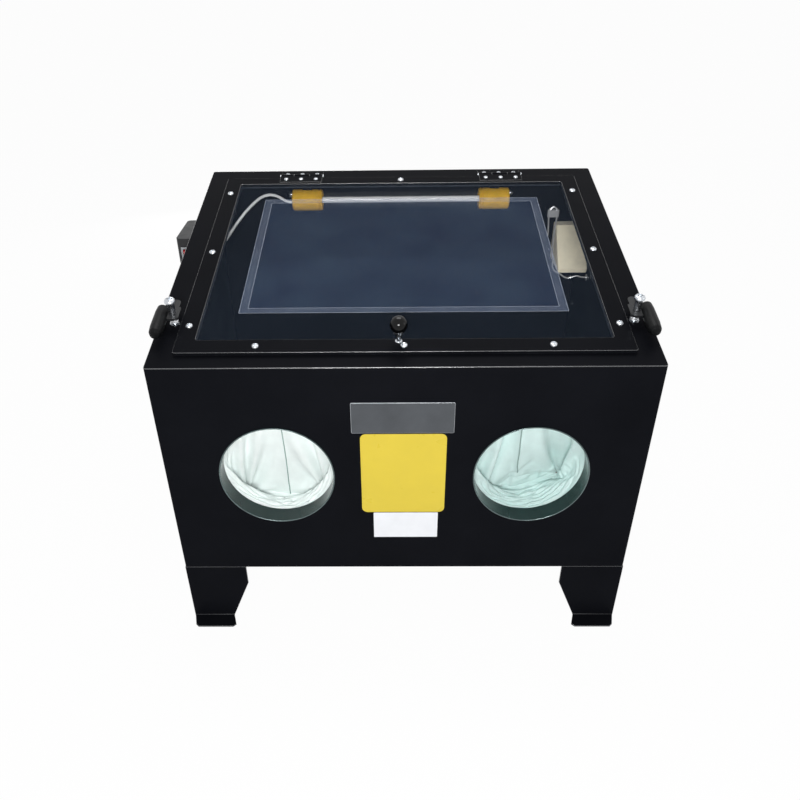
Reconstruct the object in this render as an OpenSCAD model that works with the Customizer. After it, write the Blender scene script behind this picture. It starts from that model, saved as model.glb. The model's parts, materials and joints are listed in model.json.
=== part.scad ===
// Bench-top sandblast cabinet: a sheet-steel shell with a sloping top, a hinged
// window lid held by two swivel latches, two glove ports, a hopper with a slide
// gate, a lamp with its switch box, and a blast gun lying on the work grate.
// Millimetres, +Z up. The origin is on the floor under the middle of the shell,
// and the front of the cabinet faces -Y.

/* [Shell] */
// Outside width of the shell
shell_w = 590; // [575:1:610]
// Outside depth of the shell
shell_d = 485; // [475:1:500]
// Height of the top's front edge above the floor
front_top = 397; // [390:1:410]
// Rise of the top from its front edge to its rear edge
top_rise = 88.5; // [82:0.5:95]
// Height of the shell's lower edge above the floor
shell_bottom = 93.5; // [90:0.5:97]
// Thickness of the shell's sheet steel
sheet = 1.2; // [1:0.1:1.5]
// Outside radius of the shell's upright corners
corner_r = 3.5; // [3:0.5:6]
// Width of the inward return along the shell's lower edge
return_w = 25; // [24:0.5:27]
// Height of the lip folded down around the top opening
lip_h = 5; // [3:0.5:7]

/* [Lid] */
// From the shell's side to the lid's side edge
lid_side_margin = 29.5; // [28:0.5:32]
// From the top's front edge to the lid's front edge, along the slope
lid_front_margin = 22; // [18:0.1:24]
// From the lid's rear edge to the top's rear edge, along the slope
lid_rear_margin = 35; // [34:0.5:38]
// Height of the lid's upper face above the top
lid_h = 5; // [4.6:0.1:6]
// Radius of the lid's corners
lid_corner_r = 3; // [2:0.5:5]
// Gap between the lid's folded edge and the top
skirt_gap = 1; // [0.6:0.1:1.5]
// Width of the lid's side rails
rail_side = 22.5; // [21:0.5:25]
// Width of the lid's front rail
rail_front = 24.4; // [23:0.2:26]
// Width of the lid's rear rail
rail_rear = 20; // [19:0.5:22]
// How far the lid reaches over the edge of the top opening
lid_overlap = 7; // [7:0.2:7.6]
// Thickness of the window pane
pane_t = 3; // [2:0.1:3.2]
// How far the pane reaches under the lid's rails
pane_cover = 6; // [4:0.5:6]
// Thickness of the retainer under the pane
retainer_t = 2.3; // [1.5:0.1:3]
// Width of the foam gasket
gasket_w = 5; // [4:0.1:5]
// Thickness of the protective film under the pane
film_t = 0.3; // [0.2:0.05:0.5]
// From the window's side to the film
film_side = 41.5; // [30:0.5:60]
// From the window's front edge to the film
film_front = 59.5; // [50:0.5:70]
// From the window's rear edge to the film
film_rear = 41; // [30:0.5:60]
// Radius of the lid knob's ball
knob_r = 10.5; // [9:0.5:12]
// Sideways place of the lid knob
knob_x = -6; // [-20:0.5:20]
// From the lid's front edge to the knob
knob_back = 19.4; // [18:0.2:19.8]
// Height of the knob's ball above the lid
knob_rise = 23.4; // [22:0.2:25]
// Radius of the cup that holds the knob's ball
knob_cup_r = 7.8; // [7:0.1:8.5]
// Radius of the stem under the cup
knob_stem_r = 2.6; // [2.2:0.1:3]
// Height of the stem under the cup
knob_stem_h = 6; // [5:0.5:7]
// Radius of the stem's foot on the lid
knob_foot_r = 4.2; // [3.5:0.1:4.6]

/* [Screws] */
// Radius of a lid screw's head
lid_head_r = 4.4; // [4:0.1:5]
// Radius of a lid screw's shank
lid_shank_r = 2.4; // [2:0.1:2.4]
// From the lid's edge to its screws
screw_inset = 11; // [10.8:0.1:11.2]
// From the lid's ends to the outer screws of a side rail
side_screw_end = 51; // [45:1:60]
// Sideways place of the outer screws of the front rail
front_screw_x = 171; // [160:1:190]
// Radius of a hinge screw's head
hinge_head_r = 3.3; // [3:0.1:3.6]
// Radius of a hinge screw's shank
hinge_shank_r = 1.7; // [1.4:0.1:1.9]

/* [Hinges] */
// Sideways place of each hinge
hinge_x = 152.5; // [130:0.5:180]
// Length of a hinge
hinge_l = 64; // [60:1:72]
// From the lid's rear edge to the hinge axis
hinge_gap = 7; // [6:0.2:8]
// Height of the hinge axis above the top
hinge_h = 4; // [3.8:0.1:4.6]
// Radius of a hinge knuckle
knuckle_r = 3.2; // [2.9:0.1:3.5]
// Radius of a hinge pin
hinge_pin_r = 1.5; // [1.2:0.1:1.7]
// Thickness of a hinge leaf
leaf_t = 1.5; // [1.2:0.1:1.8]
// Width of a hinge leaf on the lid, from the axis
lid_leaf_w = 24; // [21:0.5:26]
// Width of a hinge leaf on the top, from the axis
top_leaf_w = 19; // [17:0.5:22]
// From the hinge axis to the screws in the lid
lid_leaf_screw = 15.5; // [14:0.5:17]
// From the hinge axis to the screws in the top
top_leaf_screw = 10; // [9:0.5:12]
// Spacing of the screws in a hinge leaf
hinge_screw_step = 22.7; // [20:0.1:24]

/* [Latches] */
// From the lid's side edge to a latch's axis
latch_gap = 9.5; // [9:0.1:10.5]
// From the lid's front edge to a latch's axis
latch_back = 64; // [60:0.2:72]
// Radius of a latch lever's round plate
latch_disc_r = 13.2; // [12.6:0.1:13.4]
// Thickness of a latch lever
latch_plate_t = 3; // [2.5:0.1:3.5]
// Height of a latch lever's plate above the top
latch_plate_h = 13; // [12:0.2:14]
// From a latch's axis to the foot that holds the lid down
latch_reach = 21; // [20:0.2:22]
// Radius of the foot that holds the lid down
latch_foot_r = 4; // [3.5:0.1:4.5]
// Gap between the foot and the lid's upper face
latch_foot_gap = 0.6; // [0.5:0.1:1]
// Radius of a latch stud's shank
latch_stud_r = 3; // [2.6:0.1:3.2]
// Radius of a latch stud's shoulder
latch_shoulder_r = 4.4; // [4:0.1:4.4]
// Height of the underside of a latch stud's head above the top
latch_stud_h = 31; // [29:0.5:33]
// Radius of a latch stud's head
latch_head_r = 6.5; // [6:0.1:6.8]
// Radius of a latch grip
latch_grip_r = 8; // [7.5:0.1:8.2]
// Length of a latch grip
latch_grip_l = 54; // [48:1:60]
// From a latch's axis sideways to its grip
latch_grip_out = 12.8; // [12.6:0.1:13.4]
// Radius of the wire of a latch spring
latch_wire_r = 0.7; // [0.5:0.05:0.8]
// Number of turns of a latch spring
latch_turns = 5; // [4:1:6]

/* [Glove ports] */
// From the shell's side to the axis of a glove port
port_side = 138.5; // [132:0.5:145]
// Height of the glove ports above the floor
port_z = 245.6; // [243:0.2:250]
// Inside radius of a port collar
port_r = 69.8; // [68:0.1:72]
// Wall of a port collar
collar_t = 1.2; // [1:0.1:1.6]
// How far a collar reaches in from the front panel's outer face
collar_l = 22.5; // [21:0.5:26]
// Width of the rolled lip at the front of a collar
collar_lip = 0.4; // [0.3:0.1:0.8]
// Wall of a glove
glove_t = 1.8; // [1.5:0.1:2.2]
// Length of the glove's cuff over the collar
cuff_l = 17; // [15:0.5:18]
// From the collar's inner end to the glove's wrist
wrist_back = 42; // [38:1:46]
// Drop of the wrist below the port's axis
wrist_drop = 76; // [72:1:80]
// Half width of the wrist, which hangs pressed flat
wrist_half_w = 60; // [54:1:62]
// Half thickness of the wrist
wrist_half_t = 8; // [7:0.5:9]
// Length of the glove's palm
palm_l = 58; // [52:1:64]
// Half width of the palm at the knuckles
palm_half_w = 46; // [43:1:48]
// Radius of the fingers
finger_r = 11; // [10:0.5:12]
// Lengths of the four fingers, from the little one
finger_l = [54, 72, 76, 64]; // [40:1:80]
// Distance between fingers that lie side by side
finger_step = 23; // [21:0.5:24]
// Radius of the thumb
thumb_r = 12; // [11:0.5:13]
// From the middle of the palm to the thumb's root and tip, sideways
thumb_out = [38, 68]; // [30:1:70]
// From the wrist to the thumb's root and tip
thumb_ahead = [24, 74]; // [15:1:80]
// Width of a band clamp
band_w = 12; // [9:0.5:14]
// Thickness of a band clamp
band_t = 1.2; // [0.8:0.1:1.6]

/* [Hopper and gate] */
// Height of the hopper's lower end above the floor
hopper_low = 34; // [32:0.5:38]
// Side of the square outlet
outlet_w = 90; // [80:1:100]
// Length of the neck below the hopper
neck_l = 8; // [7:0.5:9]
// Width of the flange around the outlet
outlet_flange = 15; // [14:0.5:18]
// Thickness of the slide gate
gate_t = 3; // [2.5:0.1:3]
// Running gap around the slide gate
gate_gap = 0.4; // [0.35:0.05:0.6]
// Thickness of the gate rails
gate_rail_t = 1.6; // [1.4:0.1:2]

/* [Legs] */
// Thickness of a leg's sheet
leg_t = 2; // [1.8:0.1:2.2]
// Width of a leg at its top, seen from the front
leg_w = 82.5; // [78:0.5:88]
// Width of a leg at the floor, seen from the front
leg_foot_w = 55.5; // [50:0.5:60]
// Height of the straight edge at the top of a leg
leg_straight = 30; // [25:0.5:36]
// Depth of a leg at its top, seen from the side
leg_side_d = 76; // [70:1:84]
// Depth of a leg at the floor, seen from the side
leg_side_foot = 50; // [44:1:56]
// How far a foot reaches out in front of the leg
foot_out = 22; // [18:0.5:26]
// Radius of a leg bolt
leg_bolt_r = 3; // [2.5:0.1:3]
// Distance between hole edge and bolt in the legs
leg_bolt_gap = 0.3; // [0.2:0.05:0.4]

/* [Work grate] */
// Height of the grate's underside above the shell's lower edge
grate_rise = 11.5; // [11:0.5:13]
// Diameter of a grate bar
grate_bar = 6; // [5:0.5:6.5]
// Number of grate bars
grate_bars = 19; // [15:1:21]
// Width of the ledge that carries the grate
ledge_w = 20; // [18:0.5:24]

/* [Lamp] */
// From the lamp's axis to the top's rear edge, along the slope
lamp_rear = 37.5; // [35:0.5:38]
// Depth of the lamp's axis below the top
lamp_drop = 30; // [28:0.5:34]
// Sideways place of the inner end of each lamp holder
holder_in = 122; // [112:1:130]
// Length of a lamp holder
holder_l = 47; // [42:0.5:50]
// Radius of a lamp holder
holder_r = 16; // [14.5:0.5:16]
// Outside radius of the clear cover tube
cover_r = 12; // [10.5:0.1:12.5]
// Wall of the clear cover tube
cover_t = 1.2; // [1:0.1:1.6]
// Radius of the lamp tube
tube_r = 4.5; // [4:0.1:6]
// How deep the cover tube sits in a holder
cover_seat = 15; // [12:0.5:18]
// How deep the lamp tube sits in a holder
tube_seat = 25; // [22:0.5:28]

/* [Switch box] */
// How far the switch box stands out from the shell
box_out = 30; // [28:0.5:33]
// Length of the switch box, front to rear
box_l = 83; // [78:0.5:88]
// Height of the switch box
box_h = 64; // [60:0.5:70]
// From the shell's front to the switch box
box_back = 317; // [310:1:320]
// Height of the switch box's underside above the floor
box_low = 372; // [368:1:374]
// Wall of the switch box
box_t = 2; // [1.6:0.1:2.5]
// Radius of the switch box's outer corners
box_r = 6; // [4:0.5:8]
// Width of the rocker
rocker_w = 11.6; // [10:0.1:12]
// Height of the rocker
rocker_h = 20; // [18:0.2:21]
// How far the rocker leans at rest
rocker_lean = 7; // [5:0.5:8]

/* [Air and dust] */
// From the shell's front to the air inlet
air_back = 182; // [170:1:195]
// Height of the air inlet above the floor
air_z = 170; // [160:1:180]
// Radius of the air inlet's thread
air_thread_r = 6.5; // [6:0.1:7]
// Corner radius of the air inlet's hexagon and nut
air_hex_r = 11.5; // [10.5:0.1:12.5]
// Radius of the air nipple
nipple_r = 5.9; // [5.5:0.1:6.2]
// How far the air nipple and the dust spigot stand out from the shell
side_reach = 30; // [28:0.5:33]
// Inside radius of the dust spigot
spigot_r = 16; // [15:0.5:17]
// Wall of the dust spigot
spigot_t = 1.5; // [1.2:0.1:2]
// From the dust spigot's axis to the shell's rear
spigot_rear = 42; // [39:1:46]
// From the front's top edge down to the dust spigot's axis
spigot_drop = 25; // [20:1:30]
// Thickness of the filter block
filter_t = 46; // [42:0.5:50]
// Length of the filter block, front to rear
filter_d = 73; // [68:1:78]
// Height of the filter block at its rear
filter_h = 60; // [56:1:64]
// Height of the filter block's nose, where its sloping face ends
filter_nose = 8; // [6:0.5:12]
// Length of the filter block's flat top
filter_flat = 21; // [18:1:26]
// From the dust spigot's axis forward to the middle of the filter block
filter_ahead = 8; // [6:0.5:10]
// From the dust spigot's axis down to the filter block's lower face
filter_below = 25; // [23:1:27]
// Radius of the wire of the filter clip
clip_r = 1.2; // [1:0.1:1.5]
// How far from the side panel the clip's wire stands
clip_reach = 53.8; // [50:0.2:58]

/* [Blast gun] */
// Radius of the gun's barrel
barrel_r = 13; // [12:0.2:14]
// Length of the gun's barrel
barrel_l = 90; // [84:1:100]
// Sideways place of the gun's barrel
gun_x = -45; // [-50:1:-40]
// From the middle of the shell back to the middle of the barrel
gun_y = 10; // [0:1:25]
// Radius of the nozzle
nozzle_r = 6; // [5:0.2:6.5]
// Length of the nozzle
nozzle_l = 22; // [18:0.5:26]
// Wall of the seat that the nozzle stands on
nozzle_wall = 3; // [2.5:0.1:3.5]
// Length of the seat that the nozzle stands on
nozzle_seat = 8; // [6:0.5:9]
// Radius of the bore through barrel and nozzle
gun_bore_r = 3; // [2.5:0.1:3.5]
// From the barrel's axis to the end of the grip
grip_l = 95; // [88:1:100]
// Width of the grip at its end
grip_end_w = 26; // [22:0.5:28]
// Radius of the boss for a hose on the barrel
hose_boss_r = 9; // [8:0.2:10]
// From the barrel's front end back to the boss
hose_boss_back = 15; // [13:0.5:18]
// Radius of the two holes that hoses screw into
hose_hole_r = 5; // [4.5:0.1:5.5]
// From the trigger pin to the trigger's end
trigger_l = 50; // [44:1:54]
// Radius of the trigger's hub
trigger_hub_r = 4.5; // [4:0.1:4.8]
// Radius of the trigger pin
trigger_pin_r = 1.5; // [1.2:0.1:1.8]

/* [Fits] */
// Radial clearance of a running pin
pin_fit = 0.05; // [0.03:0.01:0.08]
// Gap between pieces that lie beside each other
lie_gap = 0.3; // [0.2:0.05:0.4]
// Gap between pieces that move past each other
move_gap = 0.8; // [0.6:0.1:1]

/* [Hidden] */
$fn = 64;
half_w = shell_w / 2;
half_d = shell_d / 2;
slope = atan(top_rise / shell_d);
slope_l = sqrt(shell_d * shell_d + top_rise * top_rise);
big = 4 * shell_w;
sides = [-1, 1];

// Places on the top, measured along its slope from the front edge
lid_w = shell_w - 2 * lid_side_margin;
lid_front = lid_front_margin;
lid_rear = slope_l - lid_rear_margin;
lid_mid = (lid_front + lid_rear) / 2;
lid_under = lid_h - sheet;
pane_low = lid_under - pane_t;
hinge_s = lid_rear + hinge_gap;
latch_x = lid_w / 2 + latch_gap;
latch_s = lid_front + latch_back;
lamp_s = slope_l - lamp_rear;
knob_cup_h = knob_rise - sqrt(knob_r * knob_r - knob_cup_r * knob_cup_r);
latch_top_h = latch_plate_h + latch_plate_t;

// Heights inside the shell
rim_low = shell_bottom + sheet;
rim_top = rim_low + sheet;
hopper_w = shell_w - 2 * (return_w + 2);
hopper_d = shell_d - 2 * (return_w + 2);
hopper_wall = 3 * sheet;
outlet_low = hopper_low - neck_l;
flange_half = outlet_w / 2 + outlet_flange;
gate_top = outlet_low - gate_gap - lie_gap;
gate_low = gate_top - gate_t;
gate_half = flange_half - gate_rail_t - gate_gap - 6;
rail_in = gate_half + gate_gap;
rail_low = gate_low - gate_gap - gate_rail_t;
rail_lip = 6;
gate_end = flange_half - gate_rail_t - gate_gap;
grate_low = shell_bottom + grate_rise;
grate_top = grate_low + grate_bar;
grate_half_w = half_w - sheet - 5;
grate_half_d = half_d - 26;

// Ports, switch, fittings
port_x = half_w - port_side;
collar_r = port_r + collar_t;
glove_r = collar_r + glove_t;
switch_y = -half_d + box_back;
switch_z = box_low + box_h - 26;
switch_x = -half_w - box_out / 2;
bezel_t = 1.6;
bezel_wall = 1.2;
cavity_w = rocker_w + 2 * move_gap;
cavity_h = rocker_h + 2.6 * move_gap;
cavity_d = 16;
rocker_pivot = 4;
rocker_pin_r = 1;
grommet_y = switch_y + box_l / 2;
grommet_z = box_low + box_h / 2;
spigot_y = half_d - spigot_rear;
spigot_z = front_top - spigot_drop;
filter_y = spigot_y - filter_ahead;
air_y = -half_d + air_back;
clip_y = filter_y - filter_d / 2 - clip_r - 2;
gun_z = grate_top + lie_gap + barrel_r;
gun_half_t = 11;
ear_in = 5.4;
ear_out = 9;
trigger_x = barrel_r + 6;
trigger_y = 3;

// Route of the lamp's lead, from the left holder to the grommet in the left wall
lead_r = 2.2;
lead_route = [
    [-169, 211, 446], [-175, 211, 446.2], [-182.5, 212.2, 448.8], [-189.5, 213.3, 452.8],
    [-197, 213.4, 456], [-205, 212.4, 457.4], [-212.5, 209.6, 456.8], [-220, 205.4, 454.2],
    [-227, 199.6, 450], [-234, 192.4, 445], [-241, 183.4, 439.4], [-247.5, 173.4, 433],
    [-254, 161.6, 426.4], [-260, 148.8, 419.6], [-265.5, 137.6, 413.4], [-271, 128.6, 408.8],
    [-276.5, 121.6, 405.8], [-282, 117, 404.3], [-286, 116, 404], [-289.8, 116, 404]
];

// Shared shapes

// Puts its children on the sloping top: x across, y up the slope, z out of the top
module on_top() {
    translate([0, -half_d, front_top]) rotate([slope, 0, 0]) children();
}

// Puts its children at one latch: x outwards from the lid, y up the slope
module at_latch(side) {
    on_top() mirror([side < 0 ? 1 : 0, 0, 0]) translate([latch_x, latch_s, 0]) children();
}

// Puts its children at the middle of a hinge's axis
module at_hinge(side) {
    on_top() translate([side * hinge_x, hinge_s, 0]) children();
}

// Puts its children at the gun: y along the barrel to the nozzle, x along the grip
module at_gun() {
    translate([gun_x, gun_y, gun_z]) children();
}

module rounded_rect(w, l, r) {
    square([w - 2 * r, l], center = true);
    square([w, l - 2 * r], center = true);
    for (x = sides) for (y = sides) translate([x * (w / 2 - r), y * (l / 2 - r)]) circle(r);
}

// A solid between two level rectangles
module frustum(low_w, low_d, low_z, top_w, top_d, top_z) {
    corners = [[-1, -1], [1, -1], [1, 1], [-1, 1]];
    points = concat(
        [for (c = corners) [c[0] * low_w / 2, c[1] * low_d / 2, low_z]],
        [for (c = corners) [c[0] * top_w / 2, c[1] * top_d / 2, top_z]]);
    polyhedron(points, [[0, 1, 2, 3], [7, 6, 5, 4], [4, 5, 1, 0], [5, 6, 2, 1], [6, 7, 3, 2], [7, 4, 0, 3]]);
}

// A pan-head screw along z, its head standing on z = 0 with a cross recess
module pan_screw(head_r, shank_r, shank_l) {
    head_h = 0.68 * head_r;
    slot_w = 0.22 * head_r;
    difference() {
        rotate_extrude() polygon([
            [0, -shank_l], [shank_r, -shank_l], [shank_r, 0], [head_r, 0], [head_r, 0.4 * head_h],
            [0.86 * head_r, 0.76 * head_h], [0.55 * head_r, head_h], [0, head_h]]);
        for (turn = [0, 90]) rotate(turn)
            translate([0, 0, head_h]) cube([1.1 * head_r, slot_w, 0.9 * head_h], center = true);
    }
}

// A tube swept along a route, one ring of corners for each point; flat is a
// direction that the route never runs along
function unit(v) = v / norm(v);
function heading(route, i) = unit(route[min(i + 1, len(route) - 1)] - route[max(i - 1, 0)]);
function ring(route, i, r, corners, flat) =
    let (ahead = heading(route, i), across = unit(cross(ahead, flat)), over = cross(across, ahead))
    [for (k = [0 : corners - 1])
        let (turn = 360 * k / corners) route[i] + r * (cos(turn) * across + sin(turn) * over)];
module swept_tube(route, r, corners, flat = [0, 0, 1]) {
    last = len(route) - 1;
    points = [for (i = [0 : last]) each ring(route, i, r, corners, flat)];
    walls = [for (i = [0 : last - 1]) for (k = [0 : corners - 1])
        [i * corners + k, i * corners + (k + 1) % corners,
         (i + 1) * corners + (k + 1) % corners, (i + 1) * corners + k]];
    start = [for (k = [corners - 1 : -1 : 0]) k];
    end = [for (k = [0 : corners - 1]) last * corners + k];
    polyhedron(points, concat([start], walls, [end]));
}

function coil_route(coil_r, low, high, turns, steps) =
    [for (i = [0 : turns * steps])
        let (turn = 360 * i / steps, rise = (high - low) * i / (turns * steps))
        [coil_r * cos(turn), coil_r * sin(turn), low + rise]];

// Shell

module shell_outline(inset) {
    rounded_rect(shell_w - 2 * inset, shell_d - 2 * inset, corner_r - inset);
}

module above_top(h) {
    on_top() translate([-big / 2, -big / 2, h]) cube(big);
}

module shell_walls() {
    difference() {
        translate([0, 0, shell_bottom]) linear_extrude(front_top + top_rise) difference() {
            shell_outline(0);
            shell_outline(sheet);
        }
        above_top(-sheet);
    }
}

// The strip of the shell between two depths, over one span of width
module shell_strip(x0, x1, y0, y1) {
    intersection() {
        shell_walls();
        translate([x0, y0, 0]) cube([x1 - x0, y1 - y0, big]);
    }
}

module leg_bolt_places() {
    for (x = sides) for (y = sides) for (along = [20, 63])
        translate([x * (half_w - along), y * (half_d - return_w / 2), 0]) children();
}

module leg_bolt_holes() {
    leg_bolt_places() cylinder(r = leg_bolt_r + leg_bolt_gap, h = rim_top + 1);
}

// The bent-in return at the bottom of the front or rear panel
module end_return(y_side) {
    difference() {
        translate([-half_w + corner_r, y_side > 0 ? half_d - return_w : -half_d + sheet / 2, shell_bottom])
            cube([shell_w - 2 * corner_r, return_w - sheet / 2, sheet]);
        leg_bolt_holes();
    }
}

module side_return(x_side) {
    translate([x_side > 0 ? half_w - return_w : -half_w + sheet / 2, -half_d + return_w, shell_bottom])
        cube([return_w - sheet / 2, shell_d - 2 * return_w, sheet]);
}

module port_axis(side) {
    translate([side * port_x, -half_d, port_z]) rotate([-90, 0, 0]) children();
}

module front_panel() {
    color([0.08, 0.085, 0.1]) difference() {
        union() {
            shell_strip(-half_w - 1, half_w + 1, -half_d - 1, -half_d + corner_r);
            end_return(-1);
        }
        for (side = sides) port_axis(side)
            translate([0, 0, -1]) cylinder(r = collar_r + pin_fit, h = sheet + 2, $fn = 96);
    }
}

module rear_panel() {
    color([0.08, 0.085, 0.1]) union() {
        shell_strip(-half_w - 1, half_w + 1, half_d - corner_r, half_d + 1);
        end_return(1);
    }
}

module left_side_panel() {
    color([0.08, 0.085, 0.1]) difference() {
        union() {
            shell_strip(-half_w - 1, 0, -half_d + corner_r, half_d - corner_r);
            side_return(-1);
        }
        translate([-half_w - 1, grommet_y, grommet_z]) rotate([0, 90, 0]) cylinder(r = 5, h = sheet + 2);
    }
}

module right_side_panel() {
    color([0.08, 0.085, 0.1]) difference() {
        union() {
            shell_strip(0, half_w + 1, -half_d + corner_r, half_d - corner_r);
            side_return(1);
        }
        translate([half_w - sheet - 1, air_y, air_z]) rotate([0, 90, 0])
            cylinder(r = air_thread_r + pin_fit, h = sheet + 2);
        translate([half_w - sheet - 1, spigot_y, spigot_z]) rotate([0, 90, 0])
            cylinder(r = spigot_r, h = sheet + 2);
    }
}

// The opening in the top, made larger by grow
module top_opening(grow) {
    translate([0, lid_mid])
        rounded_rect(lid_w - 2 * lid_overlap + 2 * grow, lid_rear - lid_front - 2 * lid_overlap + 2 * grow,
                     lid_corner_r + grow);
}

module top_flange() {
    color([0.1, 0.1, 0.11]) difference() {
        union() {
            intersection() {
                linear_extrude(front_top + top_rise + 1) shell_outline(0);
                on_top() translate([-big / 2, -big / 2, -sheet]) cube([big, big, sheet]);
            }
            on_top() translate([0, 0, -sheet - lip_h]) linear_extrude(lip_h + sheet / 2) difference() {
                top_opening(sheet);
                top_opening(0);
            }
        }
        on_top() translate([0, 0, -sheet - lip_h - 1]) linear_extrude(lip_h + sheet + 2) top_opening(0);
        for (side = sides) {
            at_latch(side) translate([0, 0, -sheet - 1]) cylinder(r = latch_stud_r + pin_fit, h = sheet + 2);
            at_hinge(side) for (i = [-1 : 1])
                translate([i * hinge_screw_step, top_leaf_screw, -sheet - 1])
                    cylinder(r = hinge_shank_r + pin_fit, h = sheet + 2);
        }
    }
}

// Hopper and gate

module hopper() {
    color([0.09, 0.09, 0.1]) difference() {
        union() {
            translate([0, 0, rim_low]) linear_extrude(sheet) shell_outline(sheet + lie_gap);
            frustum(outlet_w + 2 * sheet, outlet_w + 2 * sheet, hopper_low, hopper_w, hopper_d, rim_top);
            translate([0, 0, outlet_low + neck_l / 2])
                cube([outlet_w + 2 * sheet, outlet_w + 2 * sheet, neck_l], center = true);
            translate([0, 0, outlet_low + sheet / 2])
                cube([2 * flange_half, 2 * flange_half, sheet], center = true);
        }
        translate([0, 0, sheet / 100]) frustum(outlet_w, outlet_w, hopper_low,
            hopper_w - 2 * hopper_wall, hopper_d - 2 * hopper_wall, rim_top);
        translate([0, 0, hopper_low - neck_l / 2])
            cube([outlet_w, outlet_w, 2 * neck_l], center = true);
        leg_bolt_holes();
    }
}

module gate_rails() {
    color([0.35, 0.36, 0.38]) union() {
        for (x = sides) mirror([x < 0 ? 1 : 0, 0, 0]) {
            translate([rail_in, -flange_half, rail_low])
                cube([gate_rail_t, 2 * flange_half, outlet_low - rail_low]);
            translate([rail_in - rail_lip, -flange_half, rail_low])
                cube([rail_lip + gate_rail_t / 2, 2 * flange_half, gate_rail_t]);
        }
        translate([-rail_in, flange_half - gate_rail_t, rail_low])
            cube([2 * rail_in, gate_rail_t, outlet_low - rail_low]);
    }
}

module drain_gate() {
    pull_t = 2;
    pull_drop = 12;
    pull_w = 50;
    gate_front = flange_half + 4;
    color([0.55, 0.56, 0.58]) union() {
        translate([-gate_half, -gate_front, gate_low]) cube([2 * gate_half, gate_front + gate_end, gate_t]);
        translate([-pull_w / 2, -gate_front - pull_t, gate_top - pull_drop])
            cube([pull_w, pull_t + 0.5, pull_drop]);
    }
}

// Legs

module front_leg() {
    top = shell_bottom;
    difference() {
        union() {
            translate([0, -half_d + leg_t, 0]) rotate([90, 0, 0]) linear_extrude(leg_t) polygon([
                [half_w - leg_w, top], [half_w, top], [half_w, 0],
                [half_w - leg_foot_w, 0], [half_w - leg_w, top - leg_straight]]);
            translate([half_w - leg_t, 0, 0]) rotate([90, 0, 90]) linear_extrude(leg_t) polygon([
                [-half_d, top], [-half_d + leg_side_d, top], [-half_d + leg_side_d, top - leg_straight],
                [-half_d + leg_side_foot, 0], [-half_d, 0]]);
            translate([half_w - leg_w, -half_d, top - leg_t]) cube([leg_w, return_w - 1, leg_t]);
            linear_extrude(leg_t) polygon([
                [half_w - leg_foot_w - 6, -half_d - foot_out + 4],
                [half_w - leg_foot_w - 2, -half_d - foot_out],
                [half_w - 9, -half_d - foot_out], [half_w - 5, -half_d - foot_out + 4],
                [half_w, -half_d + leg_t], [half_w - leg_foot_w, -half_d + leg_t]]);
        }
        leg_bolt_holes();
    }
}

module front_left_leg() color([0.09, 0.09, 0.1]) mirror([1, 0, 0]) front_leg();
module front_right_leg() color([0.09, 0.09, 0.1]) front_leg();
module rear_left_leg() color([0.09, 0.09, 0.1]) mirror([1, 0, 0]) mirror([0, 1, 0]) front_leg();
module rear_right_leg() color([0.09, 0.09, 0.1]) mirror([0, 1, 0]) front_leg();

module leg_bolts() {
    bolt_low = shell_bottom - leg_t;
    head_h = 1.3 * leg_bolt_r;
    color([0.7, 0.71, 0.73]) leg_bolt_places() union() {
        translate([0, 0, bolt_low - head_h]) cylinder(r = 1.9 * leg_bolt_r, h = head_h, $fn = 6);
        translate([0, 0, bolt_low - head_h / 2])
            cylinder(r = leg_bolt_r, h = rim_top - bolt_low + head_h / 2 + 6);
    }
}

module leg_nuts() {
    color([0.7, 0.71, 0.73]) leg_bolt_places() difference() {
        translate([0, 0, rim_top]) cylinder(r = 1.9 * leg_bolt_r, h = 1.6 * leg_bolt_r, $fn = 6);
        translate([0, 0, rim_top - 1]) cylinder(r = leg_bolt_r + pin_fit, h = 1.6 * leg_bolt_r + 2);
    }
}

// Work grate

module grate_ledges() {
    ledge_t = 1.5;
    color([0.12, 0.12, 0.13]) for (x = sides) mirror([x < 0 ? 1 : 0, 0, 0])
        translate([half_w - sheet, 0, grate_low]) rotate([90, 0, 0])
            linear_extrude(2 * grate_half_d, center = true) polygon([
                [0, 0], [-ledge_w, 0], [-ledge_w, -ledge_t], [-ledge_t, -ledge_t],
                [-ledge_t, ledge_t - grate_rise + 2 * sheet], [0, ledge_t - grate_rise + 2 * sheet]]);
}

module work_grate() {
    end_w = 8;
    step = 2 * (grate_half_d - grate_bar) / (grate_bars - 1);
    color([0.5, 0.51, 0.52]) union() {
        for (x = sides) translate([x * (grate_half_w - end_w / 2), 0, grate_low + grate_bar / 2])
            cube([end_w, 2 * grate_half_d, grate_bar], center = true);
        for (i = [0 : grate_bars - 1])
            translate([0, -grate_half_d + grate_bar + i * step, grate_low + grate_bar / 2])
                rotate([0, 90, 0])
                    cylinder(r = grate_bar / 2 - 0.1, h = 2 * grate_half_w - end_w, center = true, $fn = 24);
        for (x = sides) translate([x * grate_half_w / 3, 0, grate_low - grate_bar / 3])
            cube([grate_bar, 2 * grate_half_d - grate_bar, grate_bar], center = true);
    }
}

// Glove ports

module glove_collar(side) {
    color([0.24, 0.32, 0.32]) port_axis(side) rotate_extrude($fn = 96) polygon([
        [port_r, -collar_t], [collar_r + collar_lip, -collar_t], [collar_r + collar_lip, 0],
        [collar_r, 0], [collar_r, collar_l], [port_r, collar_l]]);
}
module left_glove_collar() glove_collar(-1);
module right_glove_collar() glove_collar(1);

module glove_clamps() {
    house = 7;
    color([0.7, 0.71, 0.72]) for (side = sides) port_axis(side) difference() {
        union() {
            translate([0, 0, collar_l - band_w - 2]) cylinder(r = glove_r + band_t, h = band_w, $fn = 96);
            translate([-house, -glove_r - house, collar_l - band_w - 1])
                cube([2 * house, house + 2, band_w - 2]);
        }
        cylinder(r = glove_r, h = 2 * collar_l, $fn = 96);
    }
}

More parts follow.
